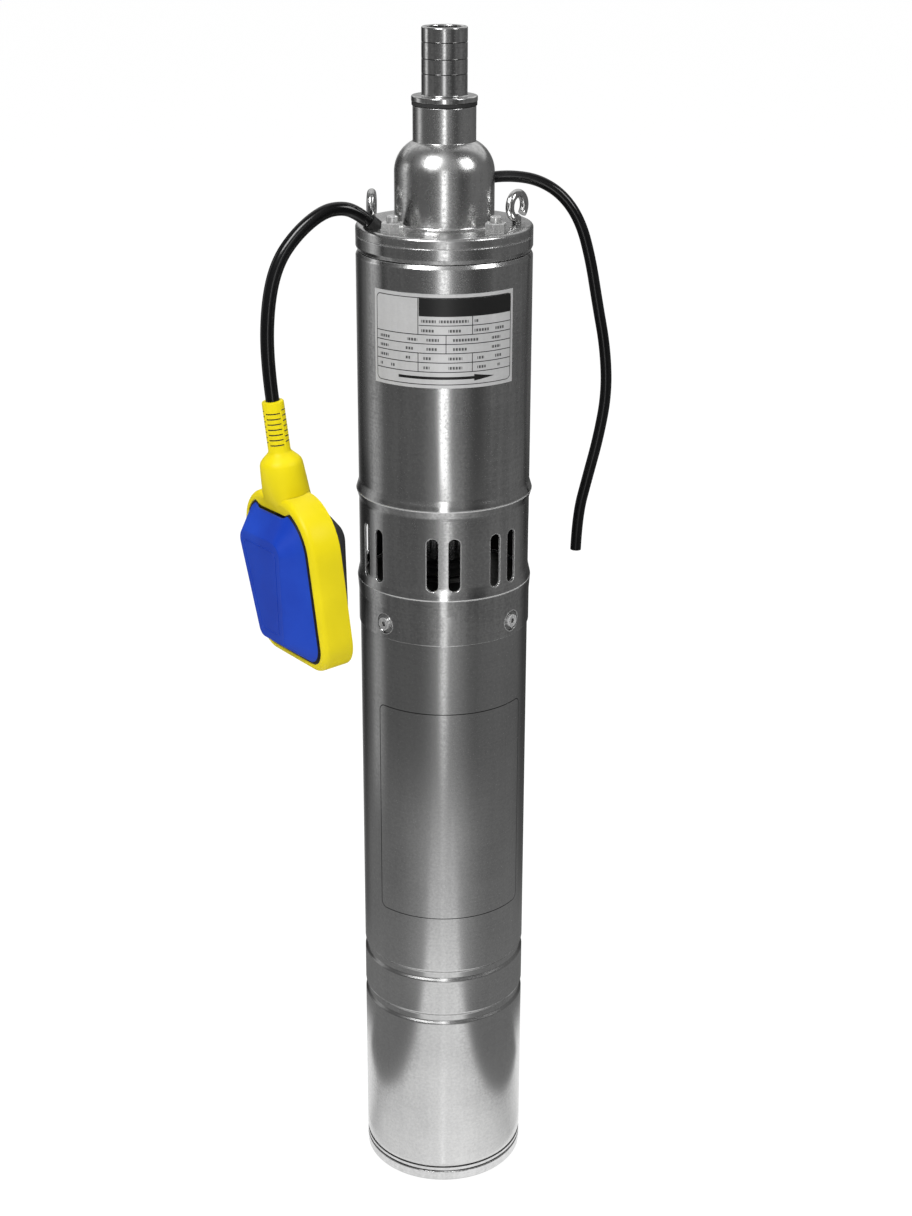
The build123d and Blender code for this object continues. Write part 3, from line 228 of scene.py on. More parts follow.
def add_bump(tree, shader, height, strength, distance):
    bump = tree.nodes.new("ShaderNodeBump")
    bump.inputs["Strength"].default_value = strength
    bump.inputs["Distance"].default_value = distance
    tree.links.new(height, bump.inputs["Height"])
    tree.links.new(bump.outputs["Normal"], shader.inputs["Normal"])


# Colours of the marks on the finishes: painted shade, print, and worn edges with a painted highlight
# Near black of the painted shade in seams and gaps, and at the foot of the float's shell
painted_shade = (0.012, 0.011, 0.01)
# Painted shade on the inside of the strainer's wall
painted_inner_shade = grey(0.07)
border_print = grey(0.03)
plate_ink = grey(0.012)
# Worn edges, painted bright as a highlight where the corners catch the light
rubbed_and_lit_bright = grey(0.62)


# Turned grain: lines round the pump's axis, cloudy patches, bands along the axis and fine mottle
def make_turned_grain():
    tree, given, out = new_group(
        "turned_grain",
        [("Lines per metre", 3000.0), ("Patch size", 14.0), ("Drawn", 0.3)],
        [("Height", "NodeSocketFloat"), ("Shade", "NodeSocketFloat")],
    )
    maths = partial(math_node, tree)
    line_drift = 0.6
    band_scale = 230.0
    band_stretch = 0.035
    mottle_scale = 650.0
    line_share = 0.2
    patch_share = 0.5
    mottle_share = 0.3
    place = object_place(tree)
    x, y, z = split(tree, place)
    around = maths("MULTIPLY", maths("ARCTAN2", y, x), line_drift)
    line_count = maths("MULTIPLY", z, given["Lines per metre"])
    lines = noise(tree, join(tree, around, 0.0, line_count), scale=1.0, detail=3.0)
    patches = noise(tree, place, given["Patch size"], detail=4.0)
    bands = noise(tree, join(tree, x, y, maths("MULTIPLY", z, band_stretch)), band_scale, detail=3.0)
    mottle = noise(tree, place, mottle_scale, detail=2.0)
    shade = maths("MULTIPLY", lines, line_share)
    shade = maths("MULTIPLY_ADD", patches, patch_share, shade)
    shade = maths("MULTIPLY_ADD", mottle, mottle_share, shade)
    off_middle = maths("SUBTRACT", bands, 0.5)
    shade = maths("ADD", shade, maths("MULTIPLY", off_middle, given["Drawn"]))
    tree.links.new(lines, out["Height"])
    tree.links.new(shade, out["Shade"])
    return tree


# Print on the nameplate: 1 inside a box given in shares of the plate's width and height
def make_printed_box():
    tree, given, out = new_group(
        "printed_box",
        [("Across", 0.0), ("Up", 0.0), ("Left", 0.0), ("Right", 1.0), ("Bottom", 0.0), ("Top", 1.0)],
        [("Mask", "NodeSocketFloat")],
    )
    maths = partial(math_node, tree)
    mask = maths("GREATER_THAN", given["Across"], given["Left"])
    for first, second in (("Right", "Across"), ("Up", "Bottom"), ("Top", "Up")):
        mask = maths("MULTIPLY", mask, maths("GREATER_THAN", given[first], given[second]))
    tree.links.new(mask, out["Mask"])
    return tree


# Printed line round a box with rounded corners, in millimetres on the surface
def make_printed_frame():
    tree, given, out = new_group(
        "printed_frame",
        [
            ("Across", 0.0), ("Up", 0.0), ("Left", -10.0), ("Right", 10.0), ("Bottom", -10.0), ("Top", 10.0),
            ("Corner", 2.0), ("Line", 0.4),
        ],
        [("Mask", "NodeSocketFloat")],
    )
    maths = partial(math_node, tree)
    beyond = []
    for place, low, high in (("Across", "Left", "Right"), ("Up", "Bottom", "Top")):
        middle = maths("MULTIPLY", maths("ADD", given[low], given[high]), 0.5)
        half = maths("MULTIPLY", maths("SUBTRACT", given[high], given[low]), 0.5)
        off = maths("ABSOLUTE", maths("SUBTRACT", given[place], middle))
        beyond.append(maths("ADD", maths("SUBTRACT", off, half), given["Corner"]))
    outer = length_of(tree, *[maths("MAXIMUM", value, 0.0) for value in beyond])
    inner = maths("MINIMUM", maths("MAXIMUM", *beyond), 0.0)
    edge = maths("SUBTRACT", maths("ADD", outer, inner), given["Corner"])
    half_line = maths("MULTIPLY", given["Line"], 0.5)
    tree.links.new(maths("LESS_THAN", maths("ABSOLUTE", edge), half_line), out["Mask"])
    return tree


# Seam shade: painted shade, darker in grooves and gaps where the surface is hemmed in
def make_seam_shade():
    tree, given, out = new_group(
        "seam_shade",
        [("Color", (1.0, 1.0, 1.0, 1.0)), ("Reach", 0.002), ("Depth", 1.0), ("Open", 0.75)],
        [("Color", "NodeSocketColor")],
    )
    maths = partial(math_node, tree)
    shut_at = 0.3
    shade = tree.nodes.new("ShaderNodeAmbientOcclusion")
    shade.samples = 8
    tree.links.new(given["Reach"], shade.inputs["Distance"])
    shut = maths("SUBTRACT", 1.0, map_range(tree, shade.outputs["AO"], shut_at, given["Open"]))
    clear = maths("SUBTRACT", 1.0, maths("MULTIPLY", shut, given["Depth"]))
    tree.links.new(colour_mix(tree, clear, painted_shade, given["Color"]), out["Color"])
    return tree


# Worn edge and painted highlight: 1 on the metal's corners, painted bright as worn edges that catch the
# light
def make_edge_wear_and_highlight():
    tree, given, out = new_group("edge_wear_and_highlight", [("Reach", 0.0007)], [("Mask", "NodeSocketFloat")])
    untouched = 0.92
    rubbed_and_lit = 0.6
    within = tree.nodes.new("ShaderNodeAmbientOcclusion")
    within.samples = 6
    within.inside = True
    within.only_local = True
    tree.links.new(given["Reach"], within.inputs["Distance"])
    tree.links.new(map_range(tree, within.outputs["AO"], untouched, rubbed_and_lit), out["Mask"])
    return tree


# Moulded skin: the fine eggshell of a moulding, and faint cloudiness
def make_moulded_skin():
    tree, given, out = new_group(
        "moulded_skin",
        [("Grain size", 900.0), ("Cloud size", 20.0)],
        [("Height", "NodeSocketFloat"), ("Cloud", "NodeSocketFloat")],
    )
    place = object_place(tree)
    tree.links.new(noise(tree, place, given["Grain size"], detail=2.0), out["Height"])
    tree.links.new(noise(tree, place, given["Cloud size"], detail=4.0), out["Cloud"])
    return tree


turned_grain = make_turned_grain()
moulded_skin = make_moulded_skin()
printed_box = make_printed_box()
printed_frame = make_printed_frame()
seam_shade = make_seam_shade()
edge_wear_and_highlight = make_edge_wear_and_highlight()

# Where finishes change: on the casing's beads, inside its wall, which is painted dark as shade, and at the
# foot of the float's shell, which is painted dark as shade too
casing_radius = 48.0
bead_from = 48.4 * MM
bead_edge = 0.5 * MM
wall_inside = 47.2 * MM
wall_edge = 0.1 * MM
shell_foot_shade_edge = 0.08 * MM
# What they change to
bead_rough = 0.12
inner_shade_rough = 0.5
rubbed_and_lit_metallic = 0.25
# Depth of the turning lines, and of a moulding's skin
grain_depth = 0.00002
skin_depth = 0.0001


def around_and_up(tree):
    """Place on a casing: millimetres round it from the front, and millimetres up."""
    x, y, z = split(tree, object_place(tree))
    around = math_node(tree, "MULTIPLY", turn_from_front(tree, x, y), casing_radius)
    return around, math_node(tree, "MULTIPLY", z, 1 / MM)


def turned_metal(
    name, dark, light, rough_low, rough_high, grain=0.12, lines=3000.0, patch=14.0, metallic=1.0,
    seams=0.0, reach=0.12, drawn=0.3, frame_box=None, edges=0.0, polished_beyond=0.0, inner_shade_within=0.0,
):
    """Metal finished on a lathe or with a belt that runs round it."""
    material, tree, shader = new_material(name)
    shader.inputs["Metallic"].default_value = metallic
    marks = place_group(tree, turned_grain, Lines_per_metre=lines, Patch_size=patch, Drawn=drawn)
    colour = colour_mix(tree, spread(tree, marks["Shade"], 0.0, 1.0, reach), dark, light)
    rough = spread(tree, marks["Shade"], rough_high, rough_low, reach)
    if polished_beyond or inner_shade_within:
        from_axis = length_of(tree, *split(tree, object_place(tree))[:2])
    if polished_beyond:
        # The beads are burnished by the rollers that formed them
        raised = smooth_step(tree, from_axis, polished_beyond, polished_beyond + bead_edge)
        rough = value_mix(tree, raised, rough, bead_rough)
    if inner_shade_within:
        # Painted shade: the inside of the wall is painted dark, and rougher
        inner = smooth_step(tree, from_axis, inner_shade_within + wall_edge, inner_shade_within - wall_edge)
        colour = colour_mix(tree, inner, colour, painted_inner_shade)
        rough = value_mix(tree, inner, rough, inner_shade_rough)
    # Painted shade in grooves and gaps
    if seams:
        colour = place_group(tree, seam_shade, Color=colour, Reach=0.0022, Depth=seams)["Color"]
    if frame_box:
        left, right, bottom, top = frame_box
        around, up = around_and_up(tree)
        border = place_group(
            tree, printed_frame,
            Across=around, Up=up, Left=left, Right=right, Bottom=bottom, Top=top, Corner=4.0, Line=0.5,
        )
        colour = colour_mix(tree, border["Mask"], colour, border_print)
    # Worn edges with a painted highlight: the corners are painted bright and made less metallic
    if edges:
        rubbed_and_lit = math_node(tree, "MULTIPLY", place_group(tree, edge_wear_and_highlight)["Mask"], edges)
        colour = colour_mix(tree, rubbed_and_lit, colour, rubbed_and_lit_bright)
        tree.links.new(value_mix(tree, rubbed_and_lit, metallic, rubbed_and_lit_metallic), shader.inputs["Metallic"])
    tree.links.new(colour, shader.inputs["Base Color"])
    tree.links.new(rough, shader.inputs["Roughness"])
    add_bump(tree, shader, marks["Height"], grain, grain_depth)
    return material


def moulded(
    name, dark, light, rough_low, rough_high, bump=0.15, grain=900.0, gloss=0.3, seams=False, shell_foot_shade_depth=0.0,
):
    """Moulded plastic or rubber."""
    material, tree, shader = new_material(name)
    skin = place_group(tree, moulded_skin, Grain_size=grain, Cloud_size=24.0)
    colour = colour_mix(tree, spread(tree, skin["Cloud"], 0.0, 1.0), dark, light)
    # Painted shade in grooves and gaps
    if seams:
        colour = place_group(tree, seam_shade, Color=colour, Reach=0.0024, Open=0.68)["Color"]
    if shell_foot_shade_depth:
        # Painted shade: the foot of the shell, down in the gap to the frame, is painted near black
        depth = tree.nodes.new("ShaderNodeVectorMath")
        depth.operation = "DOT_PRODUCT"
        depth.inputs[1].default_value = thickness_dir
        tree.links.new(object_place(tree), depth.inputs[0])
        foot = float_origin.dot(thickness_dir) * MM + shell_foot_shade_depth
        low = smooth_step(tree, depth.outputs["Value"], foot + shell_foot_shade_edge, foot - shell_foot_shade_edge)
        colour = colour_mix(tree, low, colour, painted_shade)
    tree.links.new(colour, shader.inputs["Base Color"])
    tree.links.new(spread(tree, skin["Cloud"], rough_low, rough_high), shader.inputs["Roughness"])
    shader.inputs["Specular IOR Level"].default_value = gloss
    add_bump(tree, shader, skin["Height"], bump, skin_depth)
    return material


# Border printed on the motor shell, in millimetres round it and up: left, right, bottom, top
shell_border = (-41.2, 53.6, 185.0, 315.9)

# Finishes: dark and light colour, least and greatest roughness, and what sets each apart
casing_steel = turned_metal(
    "casing_steel", grey(0.45), (0.7, 0.7, 0.695), 0.15, 0.28, seams=0.75, reach=0.1,
    edges=0.5, polished_beyond=bead_from,
)
strainer_steel = turned_metal(
    "strainer_steel", grey(0.45), (0.7, 0.7, 0.695), 0.15, 0.28, reach=0.1,
    edges=1.0, polished_beyond=bead_from, inner_shade_within=wall_inside,
)
shell_steel = turned_metal(
    "shell_steel", grey(0.48), (0.65, 0.65, 0.645), 0.16, 0.25, seams=0.6, reach=0.14, drawn=0.12,
    grain=0.06, frame_box=shell_border,
)
head_steel = turned_metal(
    "head_steel", grey(0.43), (0.72, 0.72, 0.715), 0.2, 0.34, seams=0.75, reach=0.1, drawn=0.45, edges=0.4,
)
tail_steel = turned_metal(
    "tail_steel", grey(0.42), (0.76, 0.76, 0.755), 0.12, 0.24, seams=1.0, reach=0.09, drawn=0.7,
)
cap_steel = turned_metal("cap_steel", grey(0.5), grey(0.68), 0.12, 0.2, seams=0.7, edges=0.3, grain=0.05)
# Painted shade: darkened copies of the steel and of the cast housing, for the parts inside that lie in shade
shaded_inner_steel = turned_metal("shaded_inner_steel", (0.09, 0.09, 0.085), (0.2, 0.2, 0.19), 0.25, 0.4, edges=0.6)
shaded_inner_casting = turned_metal(
    "shaded_inner_casting", (0.05, 0.05, 0.048), (0.11, 0.11, 0.105), 0.3, 0.5, grain=0.3, edges=0.5,
)
nut_steel = turned_metal(
    "nut_steel", grey(0.55), (0.8, 0.8, 0.79), 0.2, 0.34, patch=120.0, metallic=0.75, seams=0.95, edges=0.8,
)
ground_steel = turned_metal(
    "ground_steel", (0.45, 0.45, 0.46), grey(0.64), 0.18, 0.33, patch=60.0, seams=0.85,
)
screw_steel = turned_metal(
    "screw_steel", grey(0.55), grey(0.8), 0.18, 0.3, patch=120.0, metallic=0.6, seams=1.0, edges=1.0,
)
chromed_steel = turned_metal("chromed_steel", (0.66, 0.66, 0.68), (0.8, 0.8, 0.82), 0.06, 0.12, grain=0.03)
cast_housing = turned_metal("cast_housing", (0.38, 0.385, 0.39), (0.55, 0.55, 0.56), 0.4, 0.6, grain=0.3)
core_sheets = turned_metal(
    "core_sheets", (0.15, 0.16, 0.18), (0.27, 0.28, 0.3), 0.35, 0.5, lines=2000.0, grain=0.5,
)
cast_aluminium = turned_metal("cast_aluminium", (0.55, 0.55, 0.56), grey(0.7), 0.35, 0.5)
winding_copper = turned_metal(
    "winding_copper", (0.4, 0.14, 0.05), (0.62, 0.27, 0.12), 0.25, 0.4, lines=1200.0, grain=0.6,
)
seal_ceramic = moulded("seal_ceramic", (0.78, 0.76, 0.7), (0.86, 0.84, 0.79), 0.15, 0.22, bump=0.02)
black_rubber = moulded("black_rubber", grey(0.012), grey(0.028), 0.5, 0.7)
cable_rubber = moulded(
    "cable_rubber", (0.002, 0.002, 0.0022), (0.005, 0.005, 0.0055), 0.14, 0.22,
    bump=0.08, grain=500.0, gloss=0.4,
)
yellow_plastic = moulded(
    "yellow_plastic", (0.63, 0.515, 0.001), (0.75, 0.62, 0.003), 0.36, 0.48, gloss=0.2, seams=True,
)
blue_plastic = moulded(
    "blue_plastic", (0.004, 0.036, 0.36), (0.008, 0.056, 0.46), 0.42, 0.54,
    bump=0.3, gloss=0.2, seams=True, shell_foot_shade_depth=9.65 * MM,
)
black_plastic = moulded("black_plastic", (0.012, 0.012, 0.013), (0.025, 0.025, 0.027), 0.35, 0.5)
white_plastic = moulded("white_plastic", (0.66, 0.66, 0.63), (0.76, 0.76, 0.73), 0.4, 0.5)

# Nameplate: where it lies on the barrel
plate_half_angle = 49.0
plate_bottom = 505.4 * MM
plate_height = 50.4 * MM
plate_radius = 48.4
# Its print, in shares of the plate's width and height from its lower left corner
print_left = 0.022
print_right = 0.978
print_bottom = 0.04
print_top = 0.96
heading_left = 0.34
heading_bottom = 0.765
heading_top = 0.955
left_column = 0.337
middle_column = 0.513
right_column = 0.684
line_width = 0.005
line_height = 0.009
row_lines = [0.665, 0.567, 0.47, 0.37, 0.27, 0.17]
row_tops = [heading_bottom] + row_lines[:5]
arrow_up = 0.11
arrow_head_left = 0.7
arrow_head_length = 0.145
arrow_head_half = 0.036
# Printed boxes: left, right, bottom, top; the last one is the arrow's shaft
ink_boxes = [
    (heading_left, print_right, heading_bottom, heading_top),
    (heading_left, print_right, row_lines[0], row_lines[0] + line_height),
    (left_column - line_width, left_column, row_lines[1], heading_top),
    (right_column, right_column + line_width, row_lines[1], heading_bottom),
    (middle_column, middle_column + line_width, row_lines[3], row_lines[1]),
    (left_column - line_width, left_column, row_lines[5], row_lines[3]),
    (right_column, right_column + line_width, row_lines[5], row_lines[3]),
    *[(print_left, print_right, row, row + line_height) for row in row_lines[1:]],
    (0.197, 0.715, 0.095, 0.125),
]
# Plain dashes where the table's entries stand: row, left, right
dash_rows = [
    (0, 0.355, 0.45), (0, 0.47, 0.66), (0, 0.7, 0.73),
    (1, 0.355, 0.44), (1, 0.53, 0.61), (1, 0.7, 0.8), (1, 0.85, 0.92),
    (2, 0.05, 0.13), (2, 0.26, 0.33), (2, 0.39, 0.47), (2, 0.56, 0.73), (2, 0.82, 0.89),
    (3, 0.05, 0.12), (3, 0.25, 0.3), (3, 0.39, 0.46), (3, 0.56, 0.65), (3, 0.82, 0.89),
    (4, 0.05, 0.12), (4, 0.25, 0.28), (4, 0.37, 0.42), (4, 0.53, 0.62), (4, 0.72, 0.77), (4, 0.85, 0.9),
    (5, 0.05, 0.07), (5, 0.14, 0.17), (5, 0.37, 0.41), (5, 0.53, 0.62), (5, 0.72, 0.78), (5, 0.87, 0.89),
]
# Their foot and head below the row's upper line, their beat across the plate, and their ink
dash_foot = 0.066
dash_head = 0.036
dashes_across = 52.0
dash_share = 0.72
dash_ink = 0.85


def plate_material():
    material, tree, shader = new_material("plate_foil")
    maths = partial(math_node, tree)
    x, y, z = split(tree, object_place(tree))
    turn = maths("DEGREES", turn_from_front(tree, x, y))
    across = maths("MULTIPLY_ADD", turn, 0.5 / plate_half_angle, 0.5)
    up = maths("MULTIPLY_ADD", z, 1 / plate_height, -plate_bottom / plate_height)
    wide = plate_radius * math.radians(2 * plate_half_angle)
    high = plate_height / MM
    border = place_group(
        tree, printed_frame,
        Across=maths("MULTIPLY", across, wide), Up=maths("MULTIPLY", up, high),
        Left=print_left * wide, Right=print_right * wide, Bottom=print_bottom * high, Top=print_top * high,
        Corner=2.6, Line=0.45,
    )

    def boxed(left, right, bottom, top):
        return place_group(
            tree, printed_box, Across=across, Up=up, Left=left, Right=right, Bottom=bottom, Top=top,
        )["Mask"]

    def gathered(masks):
        whole = masks[0]
        for mask in masks[1:]:
            whole = maths("MAXIMUM", whole, mask)
        return whole

    ink = gathered([border["Mask"]] + [boxed(*box) for box in ink_boxes])
    entries = gathered([
        boxed(left, right, row_tops[row] - dash_foot, row_tops[row] - dash_head)
        for row, left, right in dash_rows
    ])
    # Each entry is a row of even dashes
    beat = maths("FRACT", maths("MULTIPLY", across, dashes_across))
    dashes = maths("MULTIPLY", entries, maths("LESS_THAN", beat, dash_share))
    ink = maths("MAXIMUM", ink, maths("MULTIPLY", dashes, dash_ink))
    # Arrow head: narrows to its point on the right
    along = maths("MULTIPLY_ADD", across, 1 / arrow_head_length, -arrow_head_left / arrow_head_length)
    half = maths("MULTIPLY_ADD", along, -arrow_head_half, arrow_head_half)
    off = maths("ABSOLUTE", maths("SUBTRACT", up, arrow_up))
    head = maths("MULTIPLY", maths("GREATER_THAN", along, 0.0), maths("LESS_THAN", off, half))
    ink = maths("MAXIMUM", ink, head)

    marks = place_group(tree, turned_grain, Lines_per_metre=2500.0, Patch_size=30.0)
    foil = colour_mix(tree, spread(tree, marks["Shade"], 0.0, 1.0), grey(0.46), grey(0.56))
    tree.links.new(colour_mix(tree, ink, foil, plate_ink), shader.inputs["Base Color"])
    shader.inputs["Metallic"].default_value = 0.25
    shader.inputs["Roughness"].default_value = 0.38
    add_bump(tree, shader, marks["Height"], 0.06, grain_depth)
    return material


plate_foil = plate_material()

finish_of_slot = {
    "stainless_steel": casing_steel,
    "ground_steel": ground_steel,
    "polished_chrome": chromed_steel,
    "cast_metal": cast_housing,
    "core_steel": core_sheets,
    "cast_aluminium": cast_aluminium,
    "copper": winding_copper,
    "seal_ceramic": seal_ceramic,
    "black_rubber": black_rubber,
    "cable_rubber": cable_rubber,
    "plate_foil": plate_foil,
    "yellow_plastic": yellow_plastic,
    "blue_plastic": blue_plastic,
    "black_plastic": black_plastic,
    "white_plastic": white_plastic,
}
finish_of_node = {
    "motor_shell": shell_steel,
    "intake_strainer": strainer_steel,
    "collar_screws": screw_steel,
    "head_nuts": nut_steel,
    "head_studs": nut_steel,
    "discharge_head": head_steel,
    "hose_tail": tail_steel,
    "bottom_cap": cap_steel,
    # The parts inside take the finishes with painted shade
    "upper_bearing_housing": shaded_inner_casting,
    "stator_tube": shaded_inner_steel,
    "coupling_rod": shaded_inner_steel,
    "joint_ring": shaded_inner_steel,
}
# The steel in the photograph mirrors the studio and not the float
not_mirrored = (
    "float_frame", "float_front_shell", "float_rear_shell", "switch_carrier", "microswitch",
    "rolling_ball", "switch_lever", "switch_button",
)
for entry in frame["record"]["subparts"]:
    node = frame["nodes"][entry["node"]]
    node.data.materials.clear()
    node.data.materials.append(finish_of_node.get(entry["node"]) or finish_of_slot[entry["material_slot"]])
    if entry["node"] in not_mirrored:
        node.visible_glossy = False


# Leads: one smooth line each, shaped by the route's own points
def lead_curve(name, points, radius, material):
    curve = bpy.data.curves.new(name, "CURVE")
    curve.dimensions = "3D"
    curve.bevel_depth = radius * MM
    curve.bevel_resolution = 8
    curve.resolution_u = 24
    curve.use_fill_caps = True
    line = curve.splines.new("NURBS")
    line.points.add(len(points) - 1)
    for control, place in zip(line.points, points):
        control.co = (*[c * MM for c in place], 1.0)
    line.order_u = 3
    line.use_endpoint_u = True
    curve.materials.append(material)
    return put_in_scene(name, curve)


def centre_line(lead):
    """Points along a lead's own smooth line."""
    curve = lead.data.copy()
    curve.bevel_depth = 0
    bare = put_in_scene(lead.name + "_line", curve)
    mesh = final_mesh(bare)
    points = [vertex.co.copy() for vertex in mesh.vertices]
    bpy.data.objects.remove(bare)
    bpy.data.meshes.remove(mesh)
    return points


# The first stretch of the float's lead lies in an upright plane at this angle round the axis
float_lead_angle = math.radians(-66.5)


def float_plane(distance, height):
    return (distance * math.sin(float_lead_angle), distance * -math.cos(float_lead_angle), height)


float_route = [
    (-39.863, -17.333, 587.921),
    (-45.202, -19.655, 592.806),
    float_plane(57.9, 596.4),
    float_plane(69.5, 595.0),
    float_plane(84.0, 584.5),
    float_plane(95.3, 569.9),
    float_plane(101.0, 548.7),
    (-94.007, -40.033, 518.973),
    (-91.6, -40.0, 496.3),
]
power_route = [
    (2.2, 38.2, 587.2),
    (10.1, 38.2, 596.2),
    (22.0, 36.8, 602.6),
    (37.0, 36.2, 604.0),
    (52.0, 35.5, 601.8),
    (65.5, 34.8, 593.5),
    (75.5, 34.2, 579.0),
    (81.5, 33.6, 558.0),
    (86.0, 33.0, 533.0),
    (91.0, 32.4, 508.0),
    (92.6, 31.8, 482.0),
    (88.6, 31.3, 456.0),
    (82.6, 30.8, 431.0),
    (77.6, 30.4, 409.0),
    (77.0, 30.0, 388.0),
]
float_lead_radius = 3.7
power_lead_radius = 3.15

power_lead = lead_curve("power_lead", power_route, power_lead_radius, cable_rubber)
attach(power_lead, "pump_body")
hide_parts("power_cable")

float_line = lead_curve("float_lead_line", float_route, float_lead_radius, cable_rubber)
float_path = centre_line(float_line)
tube_mesh = final_mesh(float_line)
bpy.data.objects.remove(float_line)
float_lead = put_in_scene("float_lead", tube_mesh)
for face in tube_mesh.polygons:
    face.use_smooth = True
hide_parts("float_cable")
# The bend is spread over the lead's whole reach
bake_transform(float_lead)


# Float's frame and front shell, in the float's own millimetres
float_top = -51.5
float_bottom = -148.5
float_half_width = 39.3
float_top_round = 28.0
float_bottom_round = 17.0
rim_width = 4.5  # the yellow rim round the blue shell, seen from the front
rim_front = 9.2
ledge_x = 7.2
shell_gap = 0.8
shell_wall = 2.2
shell_foot_x = ledge_x + 0.05
shell_side_x = 8.7
brow_inset = 0.5
slope_start = 9.3
slope_end = 19.75
slope_shares = (0.2, 0.4, 0.6, 0.8, 0.94, 1.0)
slope_reach = 0.94  # share of the way to the face's edge that the slope goes
face_round_x = 20.08
face_round_reach = 0.975
hollow_middle_x = 14.0
hollow_top_inset = 1.5
notch_from = 5.0
notch_to = 30.0
face_top = -72.0
face_bottom = -133.0
face_half_top = 24.3
face_half_bottom = 14.0
face_top_round = 7.0
face_bottom_round = 5.0
face_x = 20.35
raised_line_x = 20.68
tongue_half_width = 14.6
tongue_flare = 5.9
tongue_root = -57.3
tongue_end = -60.0
tongue_top = tongue_root + 2.3
tongue_round = 9.0
tongue_corner = 0.4
sharp_angle = math.radians(32)


def float_place(x, y, z):
    return (float_origin + thickness_dir * x + width_dir * y + boot_dir * z) * MM


def rounded_loop(corners, radii, steps=10, spans=6):
    """Points round a polygon with rounded corners."""
    arcs = []
    for k, (here, radius) in enumerate(zip(corners, radii)):
        here = Vector(here)
        back = (Vector(corners[k - 1]) - here).normalized()
        ahead = (Vector(corners[(k + 1) % len(corners)]) - here).normalized()
        half = back.angle(ahead) / 2
        centre = here + (back + ahead).normalized() * radius / math.sin(half)
        first = here + back * radius / math.tan(half) - centre
        last = here + ahead * radius / math.tan(half) - centre
        sweep = math.pi - 2 * half
        arc = []
        for i in range(steps + 1):
            of_first = math.sin(sweep * (1 - i / steps))
            of_last = math.sin(sweep * i / steps)
            arc.append(centre + (first * of_first + last * of_last) / math.sin(sweep))
        arcs.append(arc)
    points = []
    for k, arc in enumerate(arcs):
        points += arc
        ahead = arcs[(k + 1) % len(arcs)][0]
        points += [arc[-1].lerp(ahead, i / spans) for i in range(1, spans)]
    return points


def body_loop(inset):
    """The float's outline seen from its face."""
    side = float_half_width - inset
    low, high = float_bottom + inset, float_top - inset
    return rounded_loop(
        [(-side, low), (side, low), (side, high), (-side, high)],
        [float_bottom_round - inset] * 2 + [float_top_round - inset] * 2,
    )


def face_loop(inset):
    """The flat face's outline, wider at the top."""
    low, high = face_bottom + inset, face_top - inset
    wide, narrow = face_half_top - inset, face_half_bottom - 0.8 * inset
    return rounded_loop(
        [(-narrow, low), (narrow, low), (wide, high), (-wide, high)],
        [face_bottom_round - 0.5 * inset] * 2 + [face_top_round - 0.7 * inset] * 2,
    )


def between(first, second, share):
    return [a.lerp(b, share) for a, b in zip(first, second)]


def at_depth(loop, x):
    return [(x, point.x, point.y) for point in loop]


def skinned(name, rings, closed):
    """A closed mesh through rings of the float's points; closed joins the last ring to the first."""
    mesh = bpy.data.meshes.new(name)
    count = len(rings[0])
    points = [float_place(*point) for ring in rings for point in ring]
    faces = []
    for number in range(len(rings) if closed else len(rings) - 1):
        low, high = number * count, (number + 1) % len(rings) * count
        for k in range(count):
            following = (k + 1) % count
            faces.append((low + k, low + following, high + following, high + k))
    if not closed:
        faces += [tuple(range(count))[::-1], tuple((len(rings) - 1) * count + k for k in range(count))]
    mesh.from_pydata(points, [], faces)
    work = bmesh.new()
    work.from_mesh(mesh)
    bmesh.ops.recalc_face_normals(work, faces=work.faces)
    work.to_mesh(mesh)
    work.free()
    return put_in_scene(name, mesh)


def combine(piece, tool, operation):
    """Join a tool to a piece, or cut it away."""
    change = piece.modifiers.new("change", "BOOLEAN")
    change.operation = operation
    change.object = tool
    change.solver = "EXACT"
    mesh = final_mesh(piece)
    piece.modifiers.clear()
    piece.data = mesh
    bpy.data.objects.remove(tool)


def finish_float_piece(piece, node, material):
    for face in piece.data.polygons:
        face.use_smooth = True
    piece.data.set_sharp_from_angle(angle=sharp_angle)
    piece.data.materials.clear()
    piece.data.materials.append(material)
    piece.visible_glossy = False
    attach(piece, "float_switch")
    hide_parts(node)


# Frame's section: inset from the outline, and depth
frame_section = [
    (0.0, -8.4), (0.25, -9.0), (0.7, -9.2), (1.2, -9.2), (1.2, -8.4), (3.0, -8.4), (3.0, 5.6), (6.2, 5.6),
    (6.2, ledge_x), (rim_width, ledge_x), (rim_width, 8.8), (rim_width - 0.3, 9.1),
    (rim_width - 0.8, rim_front), (3.1, 9.15), (2.3, 8.9), (1.5, 8.45), (0.8, 7.75), (0.3, 6.9),
    (0.05, 6.0), (0.0, 5.0),
]
# Tongue's section: how far it grows, and depth
tongue_section = [(0.0, ledge_x - 0.3), (0.0, rim_front - 0.25), (-0.25, rim_front - 0.02)]
# Face's section inwards from its edge, over the raised line: inset, and depth
face_section = [
    (0.0, 20.26), (0.7, 20.33), (1.4, face_x), (5.0, face_x), (5.15, raised_line_x), (5.5, raised_line_x),
    (5.65, face_x), (6.4, face_x),
]
